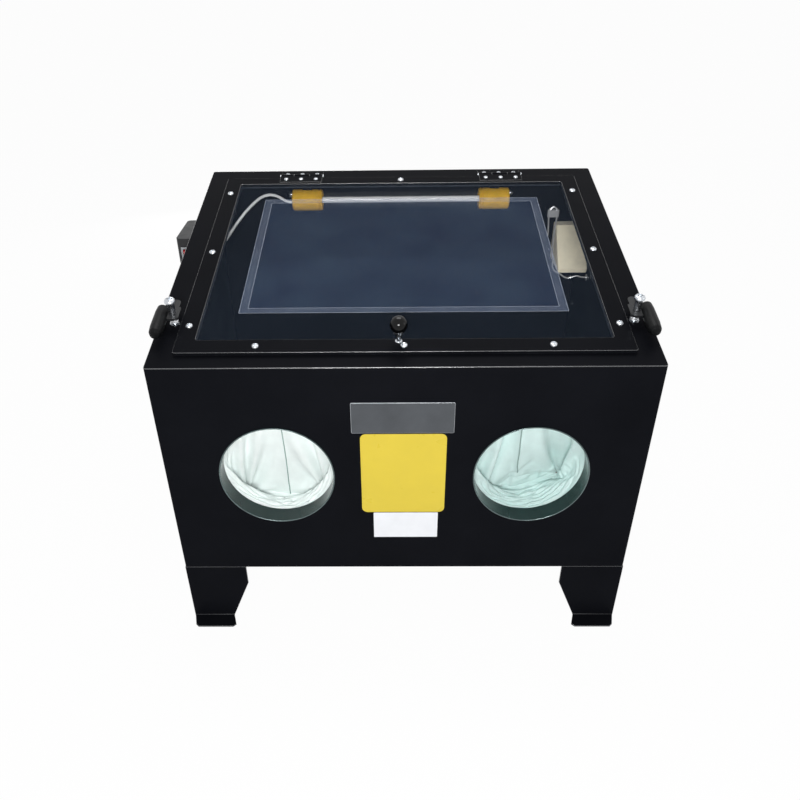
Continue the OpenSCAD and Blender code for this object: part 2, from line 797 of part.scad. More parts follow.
// The sleeve that hangs from its collar to the wrist, with its surface moved in by inset
module glove_sleeve(inset) {
    hull() {
        translate([0, collar_l - 1, 0]) rotate([-90, 0, 0])
            cylinder(r = glove_r - inset, h = 1.5, $fn = 48);
        for (x = sides) translate([x * (wrist_half_w - wrist_half_t), collar_l + wrist_back, -wrist_drop])
            sphere(r = wrist_half_t - inset, $fn = 24);
    }
}

// A finger that lies flat, from its root to its round tip
module finger(root, tip, r) {
    reach = tip - root;
    length = norm(reach);
    translate([root[0], root[1], 0]) rotate([-90, 0, -atan2(reach[0], reach[1])]) rotate_extrude($fn = 32)
        intersection() {
            union() {
                translate([0, -r]) square([r, length + r]);
                translate([0, length]) circle(r = r, $fn = 32);
            }
            translate([0, -r]) square([r, length + 2 * r]);
        }
}

// The empty hand on the grate, from the wrist forward; the thumb points towards the other glove
module glove_hand(side) {
    finger_z = grate_top + lie_gap + finger_r - port_z;
    thumb_z = grate_top + lie_gap + thumb_r - port_z;
    wrist_y = collar_l + wrist_back;
    hull() {
        for (x = sides) {
            translate([x * (wrist_half_w - wrist_half_t), wrist_y, -wrist_drop])
                sphere(r = wrist_half_t, $fn = 24);
            translate([x * (palm_half_w - finger_r), wrist_y + palm_l, finger_z])
                sphere(r = finger_r, $fn = 24);
        }
    }
    for (i = [0 : 3]) translate([0, wrist_y, finger_z]) {
        x = -side * (i - 1.5) * finger_step;
        finger([x, palm_l], [1.15 * x, palm_l + finger_l[i]], finger_r);
    }
    translate([0, wrist_y, thumb_z])
        finger([-side * thumb_out[0], thumb_ahead[0]], [-side * thumb_out[1], thumb_ahead[1]], thumb_r);
}

// A glove with its cuff over the collar, its sleeve hanging limp and its hand on the grate
module glove(side) {
    color([0.1, 0.1, 0.1]) translate([side * port_x, -half_d, port_z]) difference() {
        union() {
            translate([0, collar_l - cuff_l, 0]) rotate([-90, 0, 0])
                cylinder(r = glove_r, h = cuff_l, $fn = 96);
            glove_sleeve(0);
            glove_hand(side);
        }
        translate([0, collar_l - cuff_l - 1, 0]) rotate([-90, 0, 0])
            cylinder(r = collar_r, h = cuff_l + 1.5, $fn = 96);
        glove_sleeve(glove_t);
    }
}
module left_glove() glove(-1);
module right_glove() glove(1);

// Lamp

module at_lamp() {
    on_top() translate([0, lamp_s, -lamp_drop]) children();
}

module lamp_tube() {
    half = holder_in + tube_seat;
    color([0.95, 0.95, 0.97]) at_lamp() rotate([0, 90, 0]) cylinder(r = tube_r, h = 2 * half, center = true);
}

module lamp_cover() {
    half = holder_in + cover_seat;
    color([0.85, 0.9, 0.92, 0.3]) at_lamp() rotate([0, 90, 0]) difference() {
        cylinder(r = cover_r, h = 2 * half, center = true);
        cylinder(r = cover_r - cover_t, h = 2 * half + 2, center = true);
    }
}

module lamp_holders() {
    rib = 2;
    color([0.83, 0.7, 0.28]) for (side = sides) at_lamp() mirror([side < 0 ? 1 : 0, 0, 0])
        translate([holder_in, 0, 0]) rotate([0, 90, 0]) rotate_extrude() polygon([
            [cover_r + pin_fit, 0], [holder_r - 1, 0], [holder_r - 1, rib], [holder_r, rib],
            [holder_r, 2 * rib],
            [holder_r - 1, 2 * rib], [holder_r - 1, 3 * rib], [holder_r, 3 * rib], [holder_r, holder_l - 2],
            [holder_r - 2, holder_l], [0, holder_l], [0, tube_seat], [tube_r + pin_fit, tube_seat],
            [tube_r + pin_fit, cover_seat], [cover_r + pin_fit, cover_seat]]);
}

module lamp_hangers() {
    hanger_w = 14;
    color([0.2, 0.2, 0.21]) for (side = sides) difference() {
        on_top() translate([side * (holder_in + holder_l / 2) - hanger_w / 2, lamp_s, -lamp_drop])
            cube([hanger_w, holder_r - 2, lamp_drop - sheet]);
        at_lamp() rotate([0, 90, 0]) cylinder(r = holder_r, h = 2 * shell_w, center = true);
    }
}

module lamp_lead() color([0.95, 0.95, 0.94]) swept_tube(lead_route, lead_r, 8);

module lead_grommet() {
    lip = 4;
    outer_r = 7;
    color([0.06, 0.06, 0.06]) translate([-half_w + sheet, grommet_y, grommet_z]) rotate([0, 90, 0])
        rotate_extrude() polygon([
            [0, -sheet - 2], [outer_r, -sheet - 2], [outer_r, -sheet], [5, -sheet], [5, 0], [outer_r, 0],
            [outer_r - 1, lip], [0, lip]]);
}

// Switch box

module at_switch() {
    translate([switch_x, switch_y, switch_z]) children();
}

module switch_box() {
    color([0.05, 0.05, 0.055]) difference() {
        translate([-half_w, switch_y, box_low]) linear_extrude(box_h) union() {
            translate([-box_out + box_r, 0]) square([box_out - box_r, box_l]);
            translate([-box_out, box_r]) square([box_r + 1, box_l - 2 * box_r]);
            for (y = [box_r, box_l - box_r]) translate([-box_out + box_r, y]) circle(box_r);
        }
        translate([-half_w - box_out + box_t, switch_y + box_t, box_low + box_t])
            cube([box_out, box_l - 2 * box_t, box_h - 2 * box_t]);
        at_switch() cube([cavity_w + 2 * bezel_wall, 3 * box_t, cavity_h + 2 * bezel_wall], center = true);
        translate([switch_x, switch_y + box_l - box_t - 1, grommet_z]) rotate([-90, 0, 0])
            cylinder(r = 4, h = box_t + 2);
    }
}

module switch_bezel() {
    face = 2.6;
    pin_depth = rocker_w / 2 + bezel_wall;
    color([0.62, 0.63, 0.64]) at_switch() difference() {
        union() {
            translate([0, -bezel_t / 2, 0])
                cube([cavity_w + 2 * face, bezel_t, cavity_h + 2 * face], center = true);
            translate([-cavity_w / 2 - bezel_wall, -bezel_t / 2, -cavity_h / 2 - bezel_wall])
                cube([cavity_w + 2 * bezel_wall, cavity_d + bezel_t / 2, cavity_h + 2 * bezel_wall]);
        }
        translate([-cavity_w / 2, -bezel_t - 1, -cavity_h / 2])
            cube([cavity_w, cavity_d - bezel_wall + bezel_t + 1, cavity_h]);
        translate([0, rocker_pivot, 0]) rotate([0, 90, 0])
            cylinder(r = rocker_pin_r + pin_fit, h = 2 * (pin_depth + move_gap), center = true, $fn = 32);
    }
}

module switch_rocker() {
    half = rocker_h / 2;
    stick_out = 2.8;
    dish = 1.2;
    front = -rocker_pivot - stick_out;
    color([0.75, 0.06, 0.06]) at_switch()
        translate([0, rocker_pivot, 0]) rotate([rocker_lean, 0, 0]) union() {
            rotate([90, 0, 90]) linear_extrude(rocker_w, center = true) polygon([
                [3, -half / 2], [-2, -half], [front, -half], [front + dish, 0], [front, half],
                [-2, half], [3, half / 2]]);
            rotate([0, 90, 0]) cylinder(r = rocker_pin_r, h = cavity_w + bezel_wall, center = true, $fn = 32);
        }
}

module power_inlet() {
    jack_r = 4;
    nut_r = 7;
    color([0.08, 0.08, 0.08]) translate([switch_x, switch_y + box_l, grommet_z]) rotate([-90, 0, 0])
        difference() {
            union() {
                translate([0, 0, -box_t - 8]) cylinder(r = jack_r - pin_fit, h = box_t + 9);
                cylinder(r = nut_r, h = 2.5, $fn = 6);
                cylinder(r = jack_r + 1, h = 6);
            }
            translate([0, 0, -4]) cylinder(r = 2.75, h = 20, $fn = 32);
        }
}

// Air inlet and dust extraction

module air_inlet() {
    inner_l = 24;
    hex_t = 9;
    tip_l = 8;
    color([0.72, 0.6, 0.3]) translate([half_w, air_y, air_z]) rotate([0, 90, 0]) difference() {
        union() {
            translate([0, 0, -inner_l]) cylinder(r = air_thread_r, h = inner_l + 1);
            cylinder(r = air_hex_r, h = hex_t, $fn = 6);
            translate([0, 0, hex_t - 1]) cylinder(r = nipple_r - 1.6, h = side_reach - hex_t);
            translate([0, 0, side_reach - tip_l]) cylinder(r = nipple_r, h = tip_l);
        }
        translate([0, 0, -inner_l - 1]) cylinder(r = 2.6, h = inner_l + side_reach + 2, $fn = 32);
    }
}

module air_inlet_nut() {
    nut_h = 6;
    color([0.72, 0.6, 0.3]) translate([half_w - sheet - nut_h, air_y, air_z]) rotate([0, 90, 0])
        difference() {
            cylinder(r = air_hex_r, h = nut_h, $fn = 6);
            translate([0, 0, -1]) cylinder(r = air_thread_r + pin_fit, h = nut_h + 2);
        }
}

module dust_spigot() {
    plate_r = 30;
    color([0.1, 0.1, 0.11]) translate([half_w, spigot_y, spigot_z]) rotate([0, 90, 0]) difference() {
        union() {
            cylinder(r = plate_r, h = spigot_t);
            cylinder(r = spigot_r + spigot_t, h = side_reach);
        }
        translate([0, 0, -1]) cylinder(r = spigot_r, h = side_reach + 2);
    }
}

// A block with a sloping face towards the front, held against the wall over the spigot's hole
module exhaust_filter() {
    round_r = 3;
    half = filter_d / 2;
    color([0.92, 0.89, 0.8]) translate([half_w - sheet - filter_t, filter_y, spigot_z - filter_below])
        rotate([90, 0, 90]) linear_extrude(filter_t) offset(r = round_r, $fn = 32) offset(delta = -round_r)
            polygon([
                [-half, 0], [half, 0], [half, filter_h],
                [half - filter_flat, filter_h], [-half, filter_nose]]);
}

module filter_clip() {
    inner = half_w - sheet - clip_reach;
    low = spigot_z - filter_below + 10;
    wall_x = half_w - sheet - clip_r / 2;
    // Places of the wire, from the line it stands on and a height just above the filter's lower face
    route = [
        [wall_x, low - 16], [wall_x - 8, low - 15.5], [wall_x - 16, low - 13], [inner + 30, low - 15],
        [inner + 24, low - 17], [inner + 18, low - 15], [inner + 10, low - 9], [inner + 2, low - 5],
        [inner - 2, low + 1], [inner - 3, low + 12], [inner - 5, low + 30], [inner - 6, low + 50],
        [inner - 5, low + 72], [inner - 4, low + 86], [inner - 6, low + 93], [inner - 10.5, low + 96],
        [inner - 15, low + 93], [inner - 17, low + 86], [inner - 16, low + 70], [inner - 15, low + 52]
    ];
    color([0.85, 0.86, 0.88]) union() {
        swept_tube([for (p = route) [p[0], clip_y, p[1]]], clip_r, 8, [0, 1, 0]);
        translate([wall_x + clip_r / 2, clip_y, low - 16]) rotate([0, -90, 0]) cylinder(r = 5, h = 1.5);
        // The crimp that closes the loop
        hull() for (x = [inner - 4.5, inner - 16.5])
            translate([x, clip_y, low + 81]) cylinder(r = clip_r + 1.6, h = 10, $fn = 24);
    }
}

// Hinges

module knuckle(x0, x1, r) {
    translate([x0, 0, hinge_h]) rotate([0, 90, 0]) cylinder(r = r, h = x1 - x0, $fn = 32);
}

middle_half = hinge_l * 0.18;
knuckle_gap = 0.4;
leaf_relief = 0.6;

module hinge_top_leaves() {
    color([0.75, 0.75, 0.77]) for (side = sides) at_hinge(side) difference() {
        union() {
            knuckle(-middle_half, middle_half, knuckle_r);
            translate([-hinge_l / 2, knuckle_r + leaf_relief, 0])
                cube([hinge_l, top_leaf_w - knuckle_r - leaf_relief, leaf_t]);
            translate([-middle_half, 0, 0]) cube([2 * middle_half, knuckle_r + 2 * leaf_relief, leaf_t]);
            translate([-middle_half, 0, 0])
                cube([2 * middle_half, 0.75 * knuckle_r, hinge_h - hinge_pin_r / 2]);
        }
        knuckle(-hinge_l, hinge_l, hinge_pin_r + pin_fit);
        for (i = [-1 : 1]) translate([i * hinge_screw_step, top_leaf_screw, -1])
            cylinder(r = hinge_shank_r + pin_fit, h = leaf_t + 2);
    }
}

module hinge_lid_leaves() {
    color([0.75, 0.75, 0.77]) for (side = sides) at_hinge(side) difference() {
        union() {
            for (x = sides) mirror([x < 0 ? 1 : 0, 0, 0]) {
                knuckle(middle_half + knuckle_gap, hinge_l / 2, knuckle_r);
                translate([middle_half + knuckle_gap, -knuckle_r - 2 * leaf_relief, lid_h])
                    cube([hinge_l / 2 - middle_half - knuckle_gap, knuckle_r + 2 * leaf_relief, leaf_t]);
            }
            translate([-hinge_l / 2, -lid_leaf_w, lid_h])
                cube([hinge_l, lid_leaf_w - knuckle_r - leaf_relief, leaf_t]);
        }
        knuckle(-hinge_l, hinge_l, hinge_pin_r + pin_fit);
        for (i = [-1 : 1]) translate([i * hinge_screw_step, -lid_leaf_screw, lid_h - 1])
            cylinder(r = hinge_shank_r + pin_fit, h = leaf_t + 2);
    }
}

module hinge_pins() {
    head_t = 1;
    color([0.8, 0.8, 0.82]) for (side = sides) at_hinge(side) union() {
        knuckle(-hinge_l / 2 - knuckle_gap, hinge_l / 2 + knuckle_gap, hinge_pin_r);
        for (x = sides) mirror([x < 0 ? 1 : 0, 0, 0])
            knuckle(hinge_l / 2 + knuckle_gap, hinge_l / 2 + knuckle_gap + head_t, hinge_pin_r + 1);
    }
}

module hinge_top_screws() {
    color([0.8, 0.8, 0.82]) for (side = sides) at_hinge(side) for (i = [-1 : 1])
        translate([i * hinge_screw_step, top_leaf_screw, leaf_t])
            pan_screw(hinge_head_r, hinge_shank_r, leaf_t + sheet);
}

module hinge_lid_screws() {
    color([0.8, 0.8, 0.82]) for (side = sides) at_hinge(side) for (i = [-1 : 1])
        translate([i * hinge_screw_step, -lid_leaf_screw, lid_h + leaf_t])
            pan_screw(hinge_head_r, hinge_shank_r, leaf_t + sheet);
}

// Lid

module lid_area(inset) {
    translate([0, lid_mid])
        rounded_rect(lid_w - 2 * inset, lid_rear - lid_front - 2 * inset, max(lid_corner_r - inset, 0.5));
}

module window_area(grow) {
    front = lid_front + rail_front - grow;
    rear = lid_rear - rail_rear + grow;
    translate([0, (front + rear) / 2])
        rounded_rect(lid_w - 2 * rail_side + 2 * grow, rear - front, lid_corner_r);
}

module lid_screw_places() {
    side_x = lid_w / 2 - screw_inset;
    for (x = sides) for (s = [lid_front + side_screw_end, lid_mid, lid_rear - side_screw_end])
        translate([x * side_x, s, 0]) children();
    for (i = [-1 : 1]) translate([i * front_screw_x, lid_front + screw_inset, 0]) children();
    translate([0, lid_rear - screw_inset, 0]) children();
}

module lid_screw_holes() {
    translate([0, 0, -lid_h]) lid_screw_places() cylinder(r = lid_shank_r + pin_fit, h = 3 * lid_h);
}

module lid_frame() {
    color([0.1, 0.1, 0.11]) on_top() difference() {
        union() {
            translate([0, 0, lid_under]) linear_extrude(sheet) lid_area(0);
            translate([0, 0, skirt_gap]) linear_extrude(lid_under - skirt_gap + sheet / 2) difference() {
                lid_area(0);
                lid_area(sheet);
            }
        }
        translate([0, 0, -lid_h]) linear_extrude(3 * lid_h) window_area(0);
        lid_screw_holes();
        for (side = sides) for (i = [-1 : 1])
            translate([side * hinge_x + i * hinge_screw_step, hinge_s - lid_leaf_screw, 0])
                cylinder(r = hinge_shank_r + pin_fit, h = 2 * lid_h);
    }
}

module window_pane() {
    color([0.25, 0.3, 0.4, 0.35]) on_top() translate([0, 0, pane_low])
        linear_extrude(pane_t) window_area(pane_cover);
}

module window_retainer() {
    color([0.45, 0.46, 0.48]) on_top() difference() {
        translate([0, 0, pane_low - retainer_t]) linear_extrude(retainer_t + pane_t) top_opening(-move_gap);
        translate([0, 0, pane_low]) linear_extrude(2 * pane_t) window_area(pane_cover + lie_gap);
        translate([0, 0, -3 * lid_h]) linear_extrude(6 * lid_h) window_area(0);
        lid_screw_holes();
    }
}

module lid_gasket() {
    gap = 0.5;
    color([0.3, 0.31, 0.32]) on_top() translate([0, 0, gap]) linear_extrude(lid_under - gap) difference() {
        lid_area(sheet + lie_gap);
        lid_area(sheet + lie_gap + gasket_w);
    }
}

module film_sheet() {
    front = lid_front + rail_front + film_front;
    rear = lid_rear - rail_rear - film_rear;
    width = lid_w - 2 * (rail_side + film_side);
    color([0.6, 0.65, 0.7, 0.3]) on_top() translate([-width / 2, front, pane_low - film_t])
        cube([width, rear - front, film_t]);
}

module lid_screws() {
    color([0.85, 0.85, 0.87]) on_top() translate([0, 0, lid_h]) lid_screw_places()
        pan_screw(lid_head_r, lid_shank_r, lid_h - pane_low + retainer_t);
}

module at_knob() {
    on_top() translate([knob_x, lid_front + knob_back, lid_h]) children();
}

module lid_knob() {
    color([0.03, 0.03, 0.03]) at_knob() translate([0, 0, knob_rise]) sphere(r = knob_r);
}

// A turned foot and stem under a cup that the ball sits in
module knob_base() {
    foot_t = 1;
    color([0.8, 0.8, 0.82]) at_knob() difference() {
        rotate_extrude() polygon([
            [0, 0], [knob_foot_r, 0], [knob_foot_r, foot_t], [knob_stem_r, 1.6 * foot_t],
            [knob_stem_r, knob_stem_h], [knob_cup_r, knob_cup_h], [0, knob_cup_h]]);
        translate([0, 0, knob_rise]) sphere(r = knob_r);
    }
}

// Latches

// The plate has a flat side that lets the lid lift; a turn swings its foot over the lid
module latch_lever(side) {
    lobe_w = 12;
    tab_in = 4;
    flat_side = latch_gap - move_gap;
    foot_low = lid_h + latch_foot_gap;
    color([0.16, 0.16, 0.17]) at_latch(side) difference() {
        union() {
            translate([0, 0, latch_plate_h]) linear_extrude(latch_plate_t) {
                intersection() {
                    circle(latch_disc_r);
                    translate([-flat_side, -latch_disc_r]) square(2 * latch_disc_r);
                }
                translate([-lobe_w / 2, 0]) square([lobe_w, latch_reach]);
                translate([0, latch_reach]) circle(lobe_w / 2);
                translate([0, -latch_disc_r + 1]) square([latch_grip_out + tab_in, 2 * latch_disc_r - 6]);
            }
            translate([0, latch_reach, foot_low])
                cylinder(r = latch_foot_r, h = latch_plate_h + latch_plate_t / 2 - foot_low, $fn = 32);
        }
        translate([0, 0, latch_plate_h - 1]) cylinder(r = latch_stud_r + pin_fit, h = latch_plate_t + 2);
    }
}
module left_latch_lever() latch_lever(-1);
module right_latch_lever() latch_lever(1);

module latch_grip(side) {
    tail = 10;
    slot_gap = 0.01;
    r = latch_grip_r;
    color([0.05, 0.05, 0.055]) at_latch(side) difference() {
        translate([latch_grip_out, tail, latch_plate_h + latch_plate_t / 2]) rotate([90, 0, 0])
            rotate_extrude() polygon([
                [0, 0], [0.72 * r, 0], [0.92 * r, 2], [r, 0.2 * latch_grip_l], [r, 0.72 * latch_grip_l],
                [0.9 * r, latch_grip_l - 5], [0.66 * r, latch_grip_l - 1], [0, latch_grip_l]]);
        translate([-1, -latch_disc_r - 1, latch_plate_h - slot_gap])
            cube([2 * latch_grip_out, 2 * latch_disc_r + 2, latch_plate_t + 2 * slot_gap]);
        cylinder(r = latch_disc_r - 8, h = 4 * latch_plate_h);
    }
}
module left_latch_grip() latch_grip(-1);
module right_latch_grip() latch_grip(1);

module latch_studs() {
    washer_t = 1.2;
    head_h = 0.68 * latch_head_r;
    shoulder_low = latch_top_h + lie_gap;
    color([0.8, 0.8, 0.82]) for (side = sides) at_latch(side) union() {
        translate([0, 0, -sheet]) cylinder(r = latch_stud_r, h = sheet + latch_stud_h);
        cylinder(r = 2 * latch_stud_r, h = washer_t);
        translate([0, 0, shoulder_low]) cylinder(r = latch_shoulder_r, h = latch_stud_h - shoulder_low);
        translate([0, 0, latch_stud_h]) pan_screw(latch_head_r, latch_stud_r, head_h);
    }
}

module latch_springs() {
    washer_t = 1.2;
    low = washer_t + latch_wire_r;
    high = latch_plate_h - latch_wire_r - lie_gap;
    coil_r = latch_stud_r + latch_wire_r + 0.5;
    color([0.75, 0.75, 0.78]) for (side = sides) at_latch(side)
        swept_tube(coil_route(coil_r, low, high, latch_turns, 14), latch_wire_r, 6);
}

// Blast gun

module gun_body() {
    half = barrel_l / 2;
    overlap = 1;
    cap_l = 7;
    cap_step = 3;
    grip_root = 30;
    grip_front = -27;
    hose_y = half - hose_boss_back;
    hose_depth = 14;
    ear_w = 10;
    color([0.45, 0.46, 0.48]) at_gun() difference() {
        union() {
            translate([0, -half, 0]) rotate([-90, 0, 0]) cylinder(r = barrel_r, h = barrel_l);
            translate([0, -half - cap_l, 0]) rotate([-90, 0, 0])
                cylinder(r = barrel_r - cap_step, h = cap_l + overlap);
            translate([0, half - overlap, 0]) rotate([-90, 0, 0])
                cylinder(r = nozzle_r + nozzle_wall, h = nozzle_seat + overlap);
            linear_extrude(2 * gun_half_t, center = true) polygon([
                [barrel_r / 3, -half + 2], [barrel_r / 3, grip_front + 19], [grip_root, grip_front + 13],
                [grip_l, grip_front], [grip_l, grip_front - grip_end_w], [grip_root, -half + 1]]);
            translate([barrel_r / 2, hose_y, 0]) rotate([0, 90, 0])
                cylinder(r = hose_boss_r, h = barrel_r + overlap);
            for (z = [ear_in, -ear_out]) translate([barrel_r / 2, trigger_y - ear_w / 2, z])
                cube([trigger_x, ear_w, ear_out - ear_in]);
        }
        translate([0, -half + cap_l + cap_step, 0]) rotate([-90, 0, 0])
            cylinder(r = gun_bore_r, h = 2 * barrel_l, $fn = 32);
        translate([0, hose_y, 0]) rotate([0, 90, 0]) cylinder(r = hose_hole_r, h = 2 * barrel_l, $fn = 32);
        translate([grip_l - hose_depth, grip_front - grip_end_w / 2, 0]) rotate([0, 90, 0])
            cylinder(r = hose_hole_r, h = 2 * hose_depth, $fn = 32);
        translate([trigger_x, trigger_y, 0])
            cylinder(r = trigger_pin_r, h = 4 * gun_half_t, center = true, $fn = 32);
    }
}

module gun_nozzle() {
    color([0.9, 0.88, 0.84]) at_gun() translate([0, barrel_l / 2 + nozzle_seat, 0]) rotate([-90, 0, 0])
        difference() {
            cylinder(r = nozzle_r, h = nozzle_l);
            translate([0, 0, -1]) cylinder(r = gun_bore_r, h = nozzle_l + 2, $fn = 32);
        }
}

module gun_nozzle_nut() {
    hold = 7;
    color([0.72, 0.6, 0.3]) at_gun() translate([0, barrel_l / 2, 0]) rotate([-90, 0, 0]) difference() {
        cylinder(r = barrel_r - 0.5, h = nozzle_seat + hold);
        translate([0, 0, -1]) cylinder(r = nozzle_r + nozzle_wall + pin_fit, h = nozzle_seat + 1);
        cylinder(r = nozzle_r + pin_fit, h = nozzle_l + nozzle_seat);
    }
}

module gun_trigger() {
    thick = 2 * ear_in - 1;
    bend = 18;
    color([0.6, 0.6, 0.62]) at_gun() translate([trigger_x, trigger_y, 0]) difference() {
        union() {
            cylinder(r = trigger_hub_r, h = thick, center = true);
            linear_extrude(thick, center = true) polygon([
                [0, 1 - trigger_hub_r], [0, trigger_hub_r - 0.5], [bend, 3.5],
                [trigger_l - 4, 0.5], [trigger_l, 3.5], [trigger_l + 3, 1.5],
                [trigger_l, -4.5], [trigger_l - 8, -5], [bend, -1.5]]);
        }
        cylinder(r = trigger_pin_r + pin_fit, h = 2 * thick, center = true, $fn = 32);
    }
}

module trigger_pin() {
    color([0.8, 0.8, 0.82]) at_gun() translate([trigger_x, trigger_y, 0])
        cylinder(r = trigger_pin_r, h = 2 * ear_out, center = true, $fn = 32);
}

front_panel();
rear_panel();
left_side_panel();
right_side_panel();
top_flange();
hopper();
gate_rails();
drain_gate();
front_left_leg();
front_right_leg();
rear_left_leg();
rear_right_leg();
leg_bolts();
leg_nuts();
grate_ledges();
work_grate();
left_glove_collar();
right_glove_collar();
glove_clamps();
left_glove();
right_glove();
lamp_tube();
lamp_cover();
lamp_holders();
lamp_hangers();
lamp_lead();
lead_grommet();
switch_box();
switch_bezel();
switch_rocker();
power_inlet();
air_inlet();
air_inlet_nut();
dust_spigot();
exhaust_filter();
filter_clip();
hinge_top_leaves();
hinge_pins();
hinge_top_screws();
hinge_lid_leaves();
hinge_lid_screws();
lid_frame();
window_pane();
window_retainer();
lid_gasket();
film_sheet();
lid_screws();
lid_knob();
knob_base();
left_latch_lever();
right_latch_lever();
left_latch_grip();
right_latch_grip();
latch_studs();
latch_springs();
gun_body();
gun_nozzle();
gun_nozzle_nut();
gun_trigger();
trigger_pin();
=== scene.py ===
"""Looks of a bench-top sandblast cabinet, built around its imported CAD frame.

Lengths are in metres in the frame's own axes: +X to the right seen from the front, +Z up, and the
front with the glove ports towards -Y. Sizes of the dressing are written in millimetres and turned
to metres by MM.
"""

import json
import logging
import math
from dataclasses import dataclass
from enum import Enum

import bmesh
import bpy
from bmesh.types import BMesh
from bpy.types import ID, Material, Mesh, Node, NodeSocket, NodeTree, Object
from mathutils import Matrix, Vector


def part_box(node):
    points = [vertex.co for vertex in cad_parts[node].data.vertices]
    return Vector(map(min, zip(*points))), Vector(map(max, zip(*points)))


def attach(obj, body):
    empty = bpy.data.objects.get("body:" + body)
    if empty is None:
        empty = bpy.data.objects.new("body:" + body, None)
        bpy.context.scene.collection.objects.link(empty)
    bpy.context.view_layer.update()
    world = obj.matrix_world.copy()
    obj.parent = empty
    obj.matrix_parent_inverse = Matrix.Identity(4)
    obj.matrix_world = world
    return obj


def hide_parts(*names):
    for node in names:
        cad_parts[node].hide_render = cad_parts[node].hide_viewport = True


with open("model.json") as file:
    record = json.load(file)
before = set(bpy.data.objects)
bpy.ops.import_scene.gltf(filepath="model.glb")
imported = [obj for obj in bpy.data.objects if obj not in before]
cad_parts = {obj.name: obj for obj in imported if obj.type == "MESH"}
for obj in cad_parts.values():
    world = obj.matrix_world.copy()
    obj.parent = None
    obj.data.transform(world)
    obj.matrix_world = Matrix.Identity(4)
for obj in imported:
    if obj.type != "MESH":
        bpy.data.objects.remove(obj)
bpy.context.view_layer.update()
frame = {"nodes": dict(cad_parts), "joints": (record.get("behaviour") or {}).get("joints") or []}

LOG = logging.getLogger("cabinet")
MM = 0.001
# Points nearer than this are one point
MERGE = 0.001 * MM
# Faces that turn less than this are one flat face, and edges that turn more than this are sharp
FLAT_DEG = 0.3
SHARP_DEG = 40.0


def linear(hex_colour: str, alpha: float = 1.0) -> tuple[float, float, float, float]:
    """Turns an sRGB hex colour to linear light.

    Args:
        hex_colour: Six hex digits after a hash, such as "#15161a".
        alpha: Opacity to give the colour.

    Returns:
        Linear red, green, blue and the alpha.
    """
    channels = [int(hex_colour[i : i + 2], 16) / 255 for i in (1, 3, 5)]
    red, green, blue = (c / 12.92 if c <= 0.04045 else ((c + 0.055) / 1.055) ** 2.4 for c in channels)
    return red, green, blue, alpha


def add_node(tree: NodeTree, kind: str, settings: dict | None = None, inputs: dict | None = None) -> Node:
    """Adds a node with its settings and its inputs' values or links.

    Args:
        tree: Node tree that gets the node.
        kind: Blender's name of the shader node.
        settings: Properties to set on the node.
        inputs: For each input, its value or the output socket to link to it.

    Returns:
        The new node.
    """
    node = tree.nodes.new(f"ShaderNode{kind}")
    for key, value in (settings or {}).items():
        setattr(node, key, value)
    for key, value in (inputs or {}).items():
        if isinstance(value, NodeSocket):
            tree.links.new(value, node.inputs[key])
        else:
            node.inputs[key].default_value = value
    return node


def add_object(name: str, data: ID) -> Object:
    """Adds an object to the scene.

    Args:
        name: The object's name.
        data: Its mesh, curve, camera or light.

    Returns:
        The new object.
    """
    made = bpy.data.objects.new(name, data)
    bpy.context.scene.collection.objects.link(made)
    return made


class Side(Enum):
    """One side of the cabinet, as the sign of its x."""

    LEFT = -1
    RIGHT = 1


class Pattern(Enum):
    """How the grain of a surface runs, as its stretch along X, Y and Z."""

    EVEN = (1.0, 1.0, 1.0)
    ROLLED = (0.04, 1.0, 1.0)
    KNITTED = (1.0, 1.0, 0.7)
    FELTED = (0.35, 1.0, 0.6)


